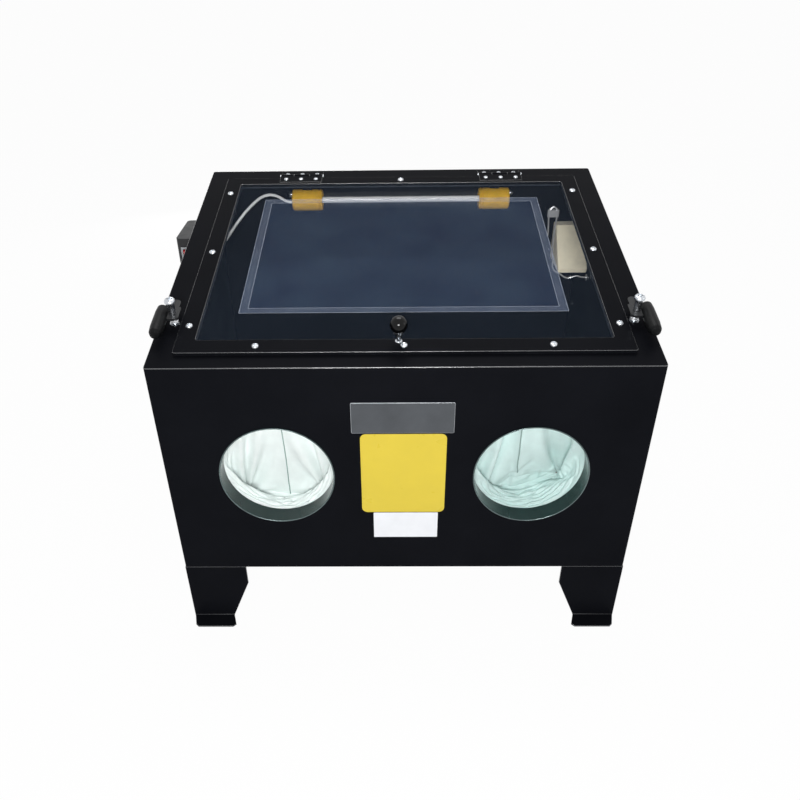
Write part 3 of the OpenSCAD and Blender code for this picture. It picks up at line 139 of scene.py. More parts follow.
@dataclass(frozen=True)
class Finish:
    """A material: what it is, how its grain runs, and what that gives the eye.

    Its grain is a pair of step and depth, its mottle a pair of share and size in millimetres.
    """

    name: str
    colour: str
    metallic: float = 0.0
    roughness: float = 0.5
    specular: float = 0.5
    ior: float = 1.5
    coat: float = 0.0
    alpha: float = 1.0
    subsurface: float = 0.0
    sheen: float = 0.0
    pattern: Pattern = Pattern.EVEN
    grain_mm: tuple[float, float] = (1.5, 0.01)
    mottle: tuple[float, float] = (0.06, 60.0)
    rough_spread: float = 0.05
    specks: str = ""
    speck_alpha: float = 0.8
    speck_step_mm: float = 30.0
    speck_mm: float = 0.5

    def material(self) -> Material:
        """Returns the material, made at the first call."""
        made = bpy.data.materials.get(self.name)
        if made is None:
            made = bpy.data.materials.new(self.name)
            made.use_nodes = True
            self._fill(made.node_tree)
        return made

    def _fill(self, tree: NodeTree) -> None:
        """Sets the shader's constants and links its patterns.

        Args:
            tree: The material's node tree, with its default shader.
        """
        shader = tree.nodes["Principled BSDF"]
        constants = {
            "Metallic": self.metallic,
            "Specular IOR Level": self.specular,
            "IOR": self.ior,
            "Coat Weight": self.coat,
            "Coat Roughness": 0.12,
            "Alpha": self.alpha,
            "Subsurface Weight": self.subsurface,
            "Subsurface Radius": (0.004, 0.003, 0.0015),
            "Sheen Weight": self.sheen,
        }
        for socket, value in constants.items():
            shader.inputs[socket].default_value = value
        place = add_node(tree, "TexCoord").outputs["Object"]
        self._colour(tree, shader, place)
        self._grain(tree, shader, place)

    def _colour(self, tree: NodeTree, shader: Node, place: NodeSocket) -> None:
        """Links a mottled colour, and specks of dust where the finish has them.

        Args:
            tree: The material's node tree.
            shader: The shader that takes the colour.
            place: Coordinates in metres.
        """
        share, size_mm = self.mottle
        cloud = add_node(tree, "TexNoise", inputs={
            "Vector": place, "Scale": 1 / (size_mm * MM), "Detail": 5.0, "Roughness": 0.6})
        ramp = add_node(tree, "ValToRGB", inputs={"Fac": cloud.outputs["Fac"]})
        base = linear(self.colour)
        stops = ((0.3, 1 - share), (0.7, 1 + share))
        for element, (stop, light) in zip(ramp.color_ramp.elements, stops):
            element.position = stop
            element.color = (*(min(1.0, c * light) for c in base[:3]), 1.0)
        colour = ramp.outputs["Color"]
        if self.specks:
            cells = add_node(tree, "TexVoronoi", inputs={
                "Vector": place, "Scale": 1 / (self.speck_step_mm * MM), "Randomness": 1.0})
            spot = add_node(tree, "MapRange", inputs={
                "Value": cells.outputs["Distance"], "From Min": 0.4 * self.speck_mm / self.speck_step_mm,
                "From Max": 0.6 * self.speck_mm / self.speck_step_mm, "To Min": 1.0, "To Max": 0.0})
            blend = add_node(tree, "MixRGB", inputs={
                "Fac": spot.outputs["Result"], "Color1": colour, "Color2": linear(self.specks)})
            colour = blend.outputs["Color"]
            if self.alpha < 1.0:
                cover = add_node(tree, "MapRange", inputs={
                    "Value": spot.outputs["Result"], "To Min": self.alpha, "To Max": self.speck_alpha})
                tree.links.new(cover.outputs["Result"], shader.inputs["Alpha"])
        tree.links.new(colour, shader.inputs["Base Color"])

    def _grain(self, tree: NodeTree, shader: Node, place: NodeSocket) -> None:
        """Links the roughness and the bump of the surface's grain.

        Args:
            tree: The material's node tree.
            shader: The shader that takes them.
            place: Coordinates in metres.
        """
        step_mm, depth_mm = self.grain_mm
        stretch = [share / (step_mm * MM) for share in self.pattern.value]
        along = add_node(tree, "Mapping", inputs={"Vector": place, "Scale": stretch})
        if self.pattern is Pattern.KNITTED:
            grain = add_node(tree, "TexVoronoi", inputs={
                "Vector": along.outputs["Vector"], "Scale": 1.0, "Randomness": 0.25})
            height = grain.outputs["Distance"]
        else:
            grain = add_node(tree, "TexNoise", inputs={
                "Vector": along.outputs["Vector"], "Scale": 1.0, "Detail": 3.0})
            height = grain.outputs["Fac"]
        wipe = add_node(tree, "TexNoise", inputs={
            "Vector": place, "Scale": 1 / (self.mottle[1] * MM), "Detail": 4.0, "Distortion": 0.8})
        rough = add_node(tree, "MapRange", inputs={
            "Value": wipe.outputs["Fac"], "From Min": 0.3, "From Max": 0.7,
            "To Min": max(0.0, self.roughness - self.rough_spread),
            "To Max": self.roughness + self.rough_spread})
        tree.links.new(rough.outputs["Result"], shader.inputs["Roughness"])
        bump = add_node(tree, "Bump", inputs={
            "Strength": 0.6, "Distance": depth_mm * MM, "Height": height})
        tree.links.new(bump.outputs["Normal"], shader.inputs["Normal"])


# Polyester powder coat, sprayed on sheet steel and baked: satin black with a faint orange peel
POWDER_COAT = Finish(
    "polyester_powder_coat_satin", "#111216", roughness=0.36, specular=0.012, grain_mm=(2.2, 0.012),
    mottle=(0.12, 90), rough_spread=0.06, specks="#4a4d52", speck_step_mm=46, speck_mm=0.55,
)
# The same coat, glossy over a fold and in a lighter grey that paints a highlight line: it catches the light
# as a fine line
POWDER_COAT_FOLD_PAINTED_HIGHLIGHT = Finish(
    "polyester_powder_coat_fold_painted_highlight", "#2a2c31", roughness=0.26, specular=1.0, coat=1.0,
    grain_mm=(2.2, 0.008), mottle=(0.2, 40),
)
# The same coat inside the chamber, dulled by dust
POWDER_COAT_INSIDE = Finish(
    "polyester_powder_coat_dusty", "#12141a", roughness=0.5, specular=0.06, grain_mm=(2.2, 0.012),
    mottle=(0.25, 50),
)
# Bright zinc plate on pressed steel: blue-white metal with soft, cloudy gloss
ZINC_PLATE = Finish(
    "zinc_plated_steel", "#c7cbd0", metallic=1.0, roughness=0.26, grain_mm=(0.8, 0.004),
    mottle=(0.08, 8), rough_spread=0.08,
)
# Cold-rolled steel with its rolling lines along X
ROLLED_STEEL = Finish(
    "cold_rolled_steel", "#8d9196", metallic=1.0, roughness=0.4, pattern=Pattern.ROLLED,
    grain_mm=(0.7, 0.008), mottle=(0.12, 25), rough_spread=0.1,
)
# Spring wire, drawn and bright
SPRING_WIRE = Finish(
    "drawn_spring_wire", "#e2e4e7", metallic=0.6, roughness=0.22, grain_mm=(0.5, 0.003),
    mottle=(0.05, 6),
)
# Enamelled latch lever: dark grey, half matt
LATCH_ENAMEL = Finish(
    "stoved_enamel_dark_grey", "#1f2022", roughness=0.38, specular=0.25, grain_mm=(1.2, 0.01),
    mottle=(0.1, 15),
)
# Glass-filled nylon, moulded: black with a fine grain
GRIP_NYLON = Finish(
    "glass_filled_nylon", "#0f1011", roughness=0.42, specular=0.1,
    grain_mm=(0.6, 0.02), mottle=(0.12, 12),
)
# Phenolic resin, moulded and buffed: deep glossy black
KNOB_PHENOLIC = Finish(
    "phenolic_resin_buffed", "#060607", roughness=0.08, specular=0.22,
    grain_mm=(6, 0.006), mottle=(0.05, 10), rough_spread=0.03,
)
# Cast acrylic window: clear, its cool blue cast partly a tint of the acrylic and partly a painted
# reflection of a bluish surrounding, with specks of dust
WINDOW_ACRYLIC = Finish(
    "cast_acrylic_window", "#8aa2c3", roughness=0.04, specular=0.3, alpha=0.02, grain_mm=(400, 0.0),
    mottle=(0.2, 150), rough_spread=0.02, specks="#c5d0e2", speck_step_mm=52, speck_mm=2.2,
    speck_alpha=0.2,
)
# Extruded acrylic cover tube: clear and colourless, with a bright line where it mirrors a lamp
COVER_ACRYLIC = Finish(
    "extruded_acrylic_tube", "#f4f6f8", roughness=0.06, specular=0.8, alpha=0.012, grain_mm=(300, 0.0),
    mottle=(0.04, 40), rough_spread=0.02,
)
# Opal glass lamp tube: milky white
OPAL_GLASS = Finish(
    "opal_glass_tube", "#f6f7f9", roughness=0.14, specular=0.7, grain_mm=(10, 0.004), mottle=(0.03, 30),
)
# Silicone rubber lamp holder, moulded: translucent amber with a soft gloss
HOLDER_SILICONE = Finish(
    "moulded_silicone_amber", "#dfb02e", roughness=0.38, specular=0.1, subsurface=0.1,
    grain_mm=(1.4, 0.03), mottle=(0.14, 14),
)
# PVC sheath of the lamp's lead: white and soft
LEAD_PVC = Finish(
    "pvc_sheath_white", "#eef0f1", roughness=0.42, specular=0.45, grain_mm=(1.0, 0.01),
    mottle=(0.04, 20),
)
# Nitrile rubber: black and matt
NITRILE = Finish(
    "nitrile_rubber", "#141414", roughness=0.72, specular=0.3, grain_mm=(0.7, 0.02), mottle=(0.15, 10),
)
# Dipped rubber outside of the gloves: black with a dull bloom
GLOVE_RUBBER = Finish(
    "dipped_rubber_glove", "#17181a", roughness=0.6, specular=0.35, grain_mm=(1.6, 0.06),
    mottle=(0.2, 30),
)
# Knitted cotton lining of the gloves: pale mint, its loops drawn coarse enough to show
GLOVE_LINING = Finish(
    "knitted_cotton_lining", "#eef6f4", roughness=0.9, specular=0.15, sheen=0.25,
    pattern=Pattern.KNITTED, grain_mm=(1.3, 0.05), mottle=(0.05, 28),
)
# The same lining in a darker, deeper mint: painted shade on the right glove's lining
GLOVE_LINING_PAINTED_SHADE = Finish(
    "knitted_cotton_lining_painted_shade", "#cfe5e2", roughness=0.9, specular=0.15, sheen=0.25,
    pattern=Pattern.KNITTED, grain_mm=(1.3, 0.05), mottle=(0.06, 28),
)
# Sewn seam of the lining: the same cotton, doubled, in a darker grey-green that is partly its own colour
# and partly painted shade of the crease it runs along
GLOVE_SEAM_AND_CREASE_SHADE = Finish(
    "sewn_cotton_seam_and_painted_crease_shade", "#8fa5a1", roughness=0.9, specular=0.1, pattern=Pattern.KNITTED,
    grain_mm=(1.0, 0.1), mottle=(0.1, 10),
)
# Glossy enamel on the port collars: dark grey, tinted green as a painted reflection of the mint lining
COLLAR_ENAMEL_PAINTED_REFLECTION = Finish(
    "stoved_enamel_green_grey_painted_reflection", "#172c2b", roughness=0.2, specular=0.32, grain_mm=(3, 0.01),
    mottle=(0.1, 40),
)
# The collar's rolled front edge in a light half-metal grey: a painted highlight line along the bead
COLLAR_BEAD_PAINTED_HIGHLIGHT = Finish(
    "stoved_enamel_bead_painted_highlight", "#5b6b6b", metallic=0.5, roughness=0.24, specular=0.6, coat=0.3,
    grain_mm=(3, 0.01), mottle=(0.3, 25),
)
# ABS switch box, moulded against a spark-eroded tool: black, fine matt grain
BOX_ABS = Finish(
    "moulded_abs_black", "#17181b", roughness=0.5, specular=0.4,
    grain_mm=(0.7, 0.03), mottle=(0.1, 20),
)
# Polished ABS bezel: light grey
BEZEL_ABS = Finish(
    "polished_abs_light_grey", "#a9adb1", roughness=0.25, grain_mm=(2, 0.006),
    mottle=(0.05, 12),
)
# Tinted polycarbonate rocker: red, clear enough to glow a little
ROCKER_POLYCARBONATE = Finish(
    "tinted_polycarbonate_red", "#c3161b", roughness=0.18, subsurface=0.1,
    grain_mm=(2, 0.006), mottle=(0.08, 8),
)
# Free-cutting brass, turned: yellow metal with fine tool lines
TURNED_BRASS = Finish(
    "turned_brass", "#c2a052", metallic=1.0, roughness=0.28, pattern=Pattern.ROLLED,
    grain_mm=(0.5, 0.006), mottle=(0.1, 10),
)
# Pressed polyester felt of the filter: cream, fibrous
FILTER_FELT = Finish(
    "pressed_polyester_felt", "#f6eed4", roughness=0.95, specular=0.1, sheen=0.3,
    pattern=Pattern.FELTED, grain_mm=(1.0, 0.25), mottle=(0.07, 12),
)
# Polyethylene film: clear and faintly blue; its blue and its large cloudy mottle are partly painted
# reflection that lightens it in places
PE_FILM = Finish(
    "polyethylene_film", "#8cb0ff", roughness=0.25, specular=0.3, alpha=0.042, grain_mm=(300, 0.0),
    mottle=(0.35, 70),
)
# Clear tape around the film: barely grey, with air caught under it as pale flecks
TAPE_CLEAR = Finish(
    "polypropylene_tape", "#c0cbe0", roughness=0.3, specular=0.4, alpha=0.06, grain_mm=(300, 0.0),
    mottle=(0.3, 12), specks="#dfe6f0", speck_step_mm=9, speck_mm=1.3, speck_alpha=0.4,
)
# Cut edges of the tape: white where they scatter light
TAPE_EDGE = Finish(
    "polypropylene_tape_cut_edge", "#c8d0de", roughness=0.4, alpha=0.28, grain_mm=(300, 0.0),
    mottle=(0.4, 15),
)
# Die-cast aluminium gun, tumbled: dull silver
CAST_ALUMINIUM = Finish(
    "die_cast_aluminium", "#a7aaae", metallic=1.0, roughness=0.42, grain_mm=(0.9, 0.03),
    mottle=(0.1, 12),
)
# Fired alumina nozzle: off-white, matt
NOZZLE_ALUMINA = Finish(
    "fired_alumina", "#e8e2d6", roughness=0.7, grain_mm=(0.5, 0.01), mottle=(0.06, 8),
)
# Anodised aluminium plate, left bare: silver grey, brushed along its length
PLATE_ANODISED = Finish(
    "anodised_aluminium_plate", "#54575b", metallic=0.85, roughness=0.42, pattern=Pattern.ROLLED,
    grain_mm=(0.6, 0.008), mottle=(0.1, 30),
)
# The plate's chamfer, cut bright
PLATE_EDGE = Finish(
    "anodised_aluminium_bright_cut", "#b9bdc2", metallic=0.5, roughness=0.4, grain_mm=(0.6, 0.004),
    mottle=(0.2, 20),
)
# Vinyl sticker, left bare: warm yellow under a thin gloss
VINYL_YELLOW = Finish(
    "vinyl_sticker_yellow", "#d2bb36", roughness=0.3, specular=0.45, grain_mm=(6, 0.02),
    mottle=(0.03, 40),
)
# Paper sticker, left bare: white, faintly grey
PAPER_WHITE = Finish(
    "paper_sticker_white", "#e4e6ea", roughness=0.6, specular=0.3, grain_mm=(1.0, 0.01),
    mottle=(0.03, 20),
)
# Galvanised strip that holds the window: pale grey
RETAINER_STRIP = Finish(
    "galvanised_strip", "#565c66", metallic=0.9, roughness=0.45, grain_mm=(3, 0.01), mottle=(0.15, 10),
)


@dataclass(frozen=True)
class Edge:
    """How sharp edges are rounded: the radius, the faces across it, and its finish where that differs.

    On folded sheet fold_deg is the least angle of the edges whose radius holds all along.
    """

    radius_mm: float
    segments: int = 2
    finish: Finish | None = None
    fold_deg: float = 0.0


def soften(piece: Object, edge: Edge) -> None:
    """Rounds a piece's sharp edges with modifiers, so that they catch the light.

    Args:
        piece: Mesh object; its own vertices stay as they are.
        edge: How its edges are rounded.
    """
    weld = piece.modifiers.new("weld", "WELD")
    weld.merge_threshold = MERGE
    planar = piece.modifiers.new("planar", "DECIMATE")
    planar.decimate_type = "DISSOLVE"
    planar.angle_limit = math.radians(FLAT_DEG)
    round_off = piece.modifiers.new("edges", "BEVEL")
    round_off.width = edge.radius_mm * MM
    round_off.use_clamp_overlap = not edge.fold_deg
    round_off.loop_slide = not edge.fold_deg
    round_off.segments = edge.segments
    round_off.limit_method = "ANGLE"
    round_off.angle_limit = math.radians(edge.fold_deg or SHARP_DEG)
    # The bevel faces may take a finish of their own, such as a lighter coat that paints a highlight line
    if edge.finish:
        piece.data.materials.append(edge.finish.material())
        round_off.material = len(piece.data.materials) - 1
    normals = piece.modifiers.new("normals", "WEIGHTED_NORMAL")
    normals.keep_sharp = False
    normals.weight = 80


def dress(names: str, finish: Finish, edge: Edge | None = None) -> None:
    """Gives CAD nodes their finish, and rounds their edges.

    Args:
        names: Node names with a space between them.
        finish: The finish they get.
        edge: How their edges are rounded, or None to leave them.
    """
    for name in names.split():
        piece = frame["nodes"][name]
        piece.data.materials.clear()
        piece.data.materials.append(finish.material())
        piece.visible_shadow = finish.alpha == 1.0
        if edge:
            soften(piece, edge)
        LOG.info("dressed %s in %s", name, finish.name)


# What each CAD node wears: names, finish, and edges where they are rounded
DRESSING = (
    ("lamp_tube", OPAL_GLASS, Edge(0.3)),
    ("lamp_cover", COVER_ACRYLIC),
    ("lamp_holders", HOLDER_SILICONE, Edge(0.4)),
    ("lamp_hangers", POWDER_COAT_INSIDE, Edge(0.4)),
    ("lead_grommet", NITRILE, Edge(0.4)),
    ("front_panel rear_panel left_side_panel right_side_panel", POWDER_COAT),
    ("top_flange", POWDER_COAT, Edge(0.55, 3, POWDER_COAT_FOLD_PAINTED_HIGHLIGHT, SHARP_DEG)),
    ("hopper", POWDER_COAT_INSIDE, Edge(0.5)),
    ("front_left_leg front_right_leg rear_left_leg rear_right_leg", POWDER_COAT,
     Edge(0.5, 3, POWDER_COAT_FOLD_PAINTED_HIGHLIGHT, 85)),
    ("gate_rails drain_gate", ROLLED_STEEL, Edge(0.4)),
    ("leg_bolts leg_nuts", ZINC_PLATE, Edge(0.25)),
    ("lid_frame", POWDER_COAT, Edge(0.4, 3, POWDER_COAT_FOLD_PAINTED_HIGHLIGHT, SHARP_DEG)),
    ("window_pane", WINDOW_ACRYLIC, Edge(0.3)),
    ("window_retainer", RETAINER_STRIP),
    ("lid_gasket", NITRILE),
    ("film_sheet", PE_FILM),
    ("lid_screws hinge_lid_screws hinge_top_screws knob_base", ZINC_PLATE, Edge(0.2)),
    ("hinge_lid_leaves hinge_top_leaves", POWDER_COAT, Edge(0.3, 2, POWDER_COAT_FOLD_PAINTED_HIGHLIGHT, SHARP_DEG)),
    ("hinge_pins", ZINC_PLATE, Edge(0.15)),
    ("lid_knob", KNOB_PHENOLIC),
    ("left_glove_collar right_glove_collar", COLLAR_ENAMEL_PAINTED_REFLECTION),
    ("glove_clamps", ROLLED_STEEL, Edge(0.2)),
    ("left_latch_lever right_latch_lever", LATCH_ENAMEL, Edge(0.3)),
    ("left_latch_grip right_latch_grip", GRIP_NYLON, Edge(0.4)),
    ("latch_studs", ZINC_PLATE, Edge(0.25)),
    ("latch_springs", SPRING_WIRE),
    ("switch_box", BOX_ABS, Edge(1.2, 3)),
    ("power_inlet", BOX_ABS, Edge(0.2)),
    ("switch_bezel", BEZEL_ABS, Edge(0.5)),
    ("switch_rocker", ROCKER_POLYCARBONATE, Edge(0.5, 3)),
    ("grate_ledges", POWDER_COAT_INSIDE, Edge(0.3)),
    ("work_grate", ROLLED_STEEL),
    ("air_inlet air_inlet_nut gun_nozzle_nut", TURNED_BRASS, Edge(0.3)),
    ("dust_spigot", POWDER_COAT, Edge(0.4)),
    ("exhaust_filter", FILTER_FELT, Edge(4.0, 4)),
    ("filter_clip", SPRING_WIRE),
    ("gun_body gun_trigger", CAST_ALUMINIUM, Edge(0.8)),
    ("gun_nozzle", NOZZLE_ALUMINA, Edge(0.4)),
    ("trigger_pin", ZINC_PLATE, Edge(0.2)),
)


def new_piece(name: str, form: BMesh, finish: Finish, body: str, tidy: bool = True) -> Object:
    """Makes an object of a form that rides on a body.

    Args:
        name: The piece's name.
        form: Its shape in the frame's axes; freed here.
        finish: Its finish.
        body: CAD body that it moves with.
        tidy: Whether its faces are turned outwards first, which a closed form allows.

    Returns:
        The new object.
    """
    mesh = bpy.data.meshes.new(name)
    if tidy:
        bmesh.ops.recalc_face_normals(form, faces=form.faces)
    form.to_mesh(mesh)
    form.free()
    mesh.materials.append(finish.material())
    for polygon in mesh.polygons:
        polygon.use_smooth = True
    piece = add_object(name, mesh)
    piece.visible_shadow = finish.alpha == 1.0
    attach(piece, body)
    LOG.info("built %s in %s", name, finish.name)
    return piece


def rounded_outline(width: float, height: float, radius: float, steps: int = 8) -> list[Vector]:
    """Returns the corners of a rectangle with round corners, about its middle.

    Args:
        width: Size along x.
        height: Size along y.
        radius: Radius of its corners.
        steps: Straight steps in each corner.

    Returns:
        Points in the xy plane, anticlockwise.
    """
    points = []
    for quarter, (x, y) in enumerate(((1, 1), (-1, 1), (-1, -1), (1, -1))):
        middle = Vector((x * (width / 2 - radius), y * (height / 2 - radius), 0))
        for i in range(steps + 1):
            turn = math.pi / 2 * (quarter + i / steps)
            points.append(middle + radius * Vector((math.cos(turn), math.sin(turn), 0)))
    return points


def circle(radius: float, steps: int) -> list[tuple[float, float]]:
    """Returns the points of a circle about the origin.

    Args:
        radius: Its radius.
        steps: Number of points.

    Returns:
        Pairs, anticlockwise.
    """
    turns = [math.tau * k / steps for k in range(steps)]
    return [(radius * math.cos(turn), radius * math.sin(turn)) for turn in turns]


def plate_form(
    outline: list[Vector], thickness: float, place: Matrix, hole: list[Vector] | None = None
) -> BMesh:
    """Returns a flat plate that lies on a plane and stands out along its normal.

    Args:
        outline: Corners of the plate in the plane.
        thickness: How far it stands out along the plane's z.
        place: Puts the plane's axes in the frame.
        hole: Corners of a window in it, one for each corner of the outline.

    Returns:
        The plate as a closed form.
    """
    form = bmesh.new()
    rings = [outline] if hole is None else [outline, hole]
    low = [[form.verts.new(place @ p) for p in ring] for ring in rings]
    high = [[form.verts.new(place @ (p + Vector((0, 0, thickness)))) for p in ring] for ring in rings]
    count = len(outline)
    if hole is None:
        form.faces.new(low[0])
        form.faces.new(high[0])
    for i in range(count):
        j = (i + 1) % count
        for below, above in zip(low, high):
            form.faces.new((below[i], below[j], above[j], above[i]))
        if hole is not None:
            for layer in (low, high):
                form.faces.new((layer[0][i], layer[0][j], layer[1][j], layer[1][i]))
    return form


def turned_form(profile: list[tuple[float, float]], place: Matrix, steps: int = 32) -> BMesh:
    """Returns a solid of revolution about the z axis of a place.

    Args:
        profile: Pairs of radius and height, from the axis back to the axis or around a ring.
        place: Puts the solid's axes in the frame.
        steps: Faces around it.

    Returns:
        The solid as a closed form.
    """
    form = bmesh.new()
    line = [form.verts.new(Vector((r, 0, z))) for r, z in profile]
    edges = [form.edges.new(pair) for pair in zip(line, line[1:])]
    bmesh.ops.spin(form, geom=line + edges, cent=(0, 0, 0), axis=(0, 0, 1), angle=math.tau, steps=steps)
    bmesh.ops.remove_doubles(form, verts=form.verts, dist=MERGE)
    bmesh.ops.transform(form, matrix=place, verts=form.verts)
    return form


@dataclass
class TopPlane:
    """The sloping top: x across, s up the slope from the front edge, h out of the top."""

    front: Vector
    up_slope: Vector
    outward: Vector

    @classmethod
    def from_frame(cls) -> "TopPlane":
        """Reads the plane from the top's box and a latch's axis."""
        latch = next(j for j in frame["joints"] if j["name"] == "right_latch_turn")
        outward = Vector(latch["axis"]).normalized()
        up_slope = Vector((0, outward.z, -outward.y))
        low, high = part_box("top_flange")
        rise = (high.y - low.y) * up_slope.z / up_slope.y
        return cls(Vector((0, low.y, high.z - rise)), up_slope, outward)

    def matrix(self, x: float, s: float, h: float) -> Matrix:
        """Returns the place at x, s and h, with the top's own axes.

        Args:
            x: Distance across, from the middle.
            s: Distance up the slope, from the front edge.
            h: Height above the top.

        Returns:
            A matrix from the local axes to the frame.
        """
        turn = Matrix((Vector((1, 0, 0)), self.up_slope, self.outward)).transposed().to_4x4()
        origin = self.front + x * Vector((1, 0, 0)) + s * self.up_slope + h * self.outward
        return Matrix.Translation(origin) @ turn


@dataclass(frozen=True)
class Label:
    """A flat bare piece on the front panel: its finish, size and corners, and the place of its middle."""

    name: str
    finish: Finish
    slot: str
    width: float
    height: float
    corner: float
    thickness: float
    x: float
    z: float
    edge: Edge | None = None


@dataclass
class Front:
    """The bare plate and stickers on the front panel."""

    labels: tuple[Label, ...] = (
        Label("bare_plate", PLATE_ANODISED, "bare_steel", 122 * MM, 42 * MM, 1.5 * MM, 0.9 * MM,
              x=-1.6 * MM, z=330 * MM, edge=Edge(0.75, finish=PLATE_EDGE)),
        Label("bare_yellow_sticker", VINYL_YELLOW, "shell_paint", 104 * MM, 119 * MM, 7 * MM, 0.25 * MM,
              x=-0.6 * MM, z=248 * MM),
        Label("bare_white_sticker", PAPER_WHITE, "shell_paint", 82 * MM, 41 * MM, 1.0 * MM, 0.25 * MM,
              x=2.7 * MM, z=167 * MM),
    )

    def build(self) -> None:
        """Makes them with x to the right, y up and z out of the panel."""
        turn = Matrix(((1, 0, 0), (0, 0, -1), (0, 1, 0))).to_4x4()
        front_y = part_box("front_panel")[0].y
        for label in self.labels:
            place = Matrix.Translation((label.x, front_y, label.z)) @ turn
            outline = rounded_outline(label.width, label.height, label.corner)
            form = plate_form(outline, label.thickness, place)
            piece = new_piece(label.name, form, label.finish, "cabinet")
            if label.edge:
                soften(piece, label.edge)
            else:
                piece.data.shade_flat()


@dataclass
class Film:
    """The tape around the film that is stuck under the window."""

    plane: TopPlane
    tape_w: float = 11 * MM
    tape_t: float = 0.12 * MM
    cut_w: float = 0.9 * MM
    film_gap: float = 0.3 * MM
    tape_corner: float = 0.3 * MM

    def build(self) -> None:
        """Makes the tape that holds the film's four edges to the pane, with its pale cut edges."""
        low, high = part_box("film_sheet")
        middle = (low + high) / 2
        width = high.x - low.x
        length = (high.y - low.y) / self.plane.up_slope.y
        s = (middle - self.plane.front).dot(self.plane.up_slope)
        h = (middle - self.plane.front).dot(self.plane.outward)
        place = self.plane.matrix(middle.x, s, h - self.film_gap - self.tape_t)
        steps = (0.0, self.cut_w, self.tape_w - self.cut_w, self.tape_w)
        rings = [rounded_outline(width - 2 * d, length - 2 * d, self.tape_corner, 1) for d in steps]
        for name, outer, inner, finish in (
            ("film_tape_outer_edge", 0, 1, TAPE_EDGE),
            ("film_tape", 1, 2, TAPE_CLEAR),
            ("film_tape_inner_edge", 2, 3, TAPE_EDGE),
        ):
            form = plate_form(rings[outer], self.tape_t, place, rings[inner])
            new_piece(name, form, finish, "lid")


# How the sleeve of a glove behaves as cloth: light, limp and slow to swing
RUBBERISED_COTTON = {
    "quality": 5,
    "mass": 0.15,
    "air_damping": 4.0,
    "tension_stiffness": 20.0,
    "compression_stiffness": 20.0,
    "shear_stiffness": 6.0,
    "bending_stiffness": 0.6,
}


@dataclass(frozen=True)
class Lobe:
    """A run of beads in an empty hand, in millimetres: x towards the thumb, y along the fingers."""

    root: tuple[float, float]
    tip: tuple[float, float]
    root_half: tuple[float, float, float]
    tip_half: tuple[float, float, float]
    swell: float = 0.0
    count: int = 9

    def beads(self) -> list[tuple[float, float, Vector]]:
        """Returns x, y and the half sizes of each bead."""
        made = []
        for i in range(self.count):
            t = i / (self.count - 1)
            x, y = (a + (b - a) * t for a, b in zip(self.root, self.tip))
            half = [a + (b - a) * t for a, b in zip(self.root_half, self.tip_half)]
            half[2] += self.swell * math.sin(math.pi * t)
            made.append((x, y, Vector(half)))
        return made


# Where the palm of an empty hand ends, how far its fingers spread, and how flat they lie
PALM_END = 58
FINGER_SPREAD = 1.18
FINGER_FLATNESS = 0.9


def finger(x: float, tip: float, half: float) -> Lobe:
    """Returns a finger that spreads a little towards its tip.

    Args:
        x: Place of its root across the palm.
        tip: How far it reaches.
        half: Half its width.

    Returns:
        The finger's run of beads.
    """
    size = (half, half, FINGER_FLATNESS * half)
    return Lobe((x, PALM_END), (FINGER_SPREAD * x, tip), size, size)


# The empty hand: palm, four fingers and thumb
HAND = (
    Lobe((0, 4), (0, PALM_END), (63, 15, 9), (48, 15, 9), swell=5),
    finger(-33, 112, 10),
    finger(-11.5, 130, 11),
    finger(11, 134, 11.5),
    finger(32, 122, 11),
    Lobe((40, 22), (70, 74), (13, 13, 11), (11, 11, 11), count=7),
)


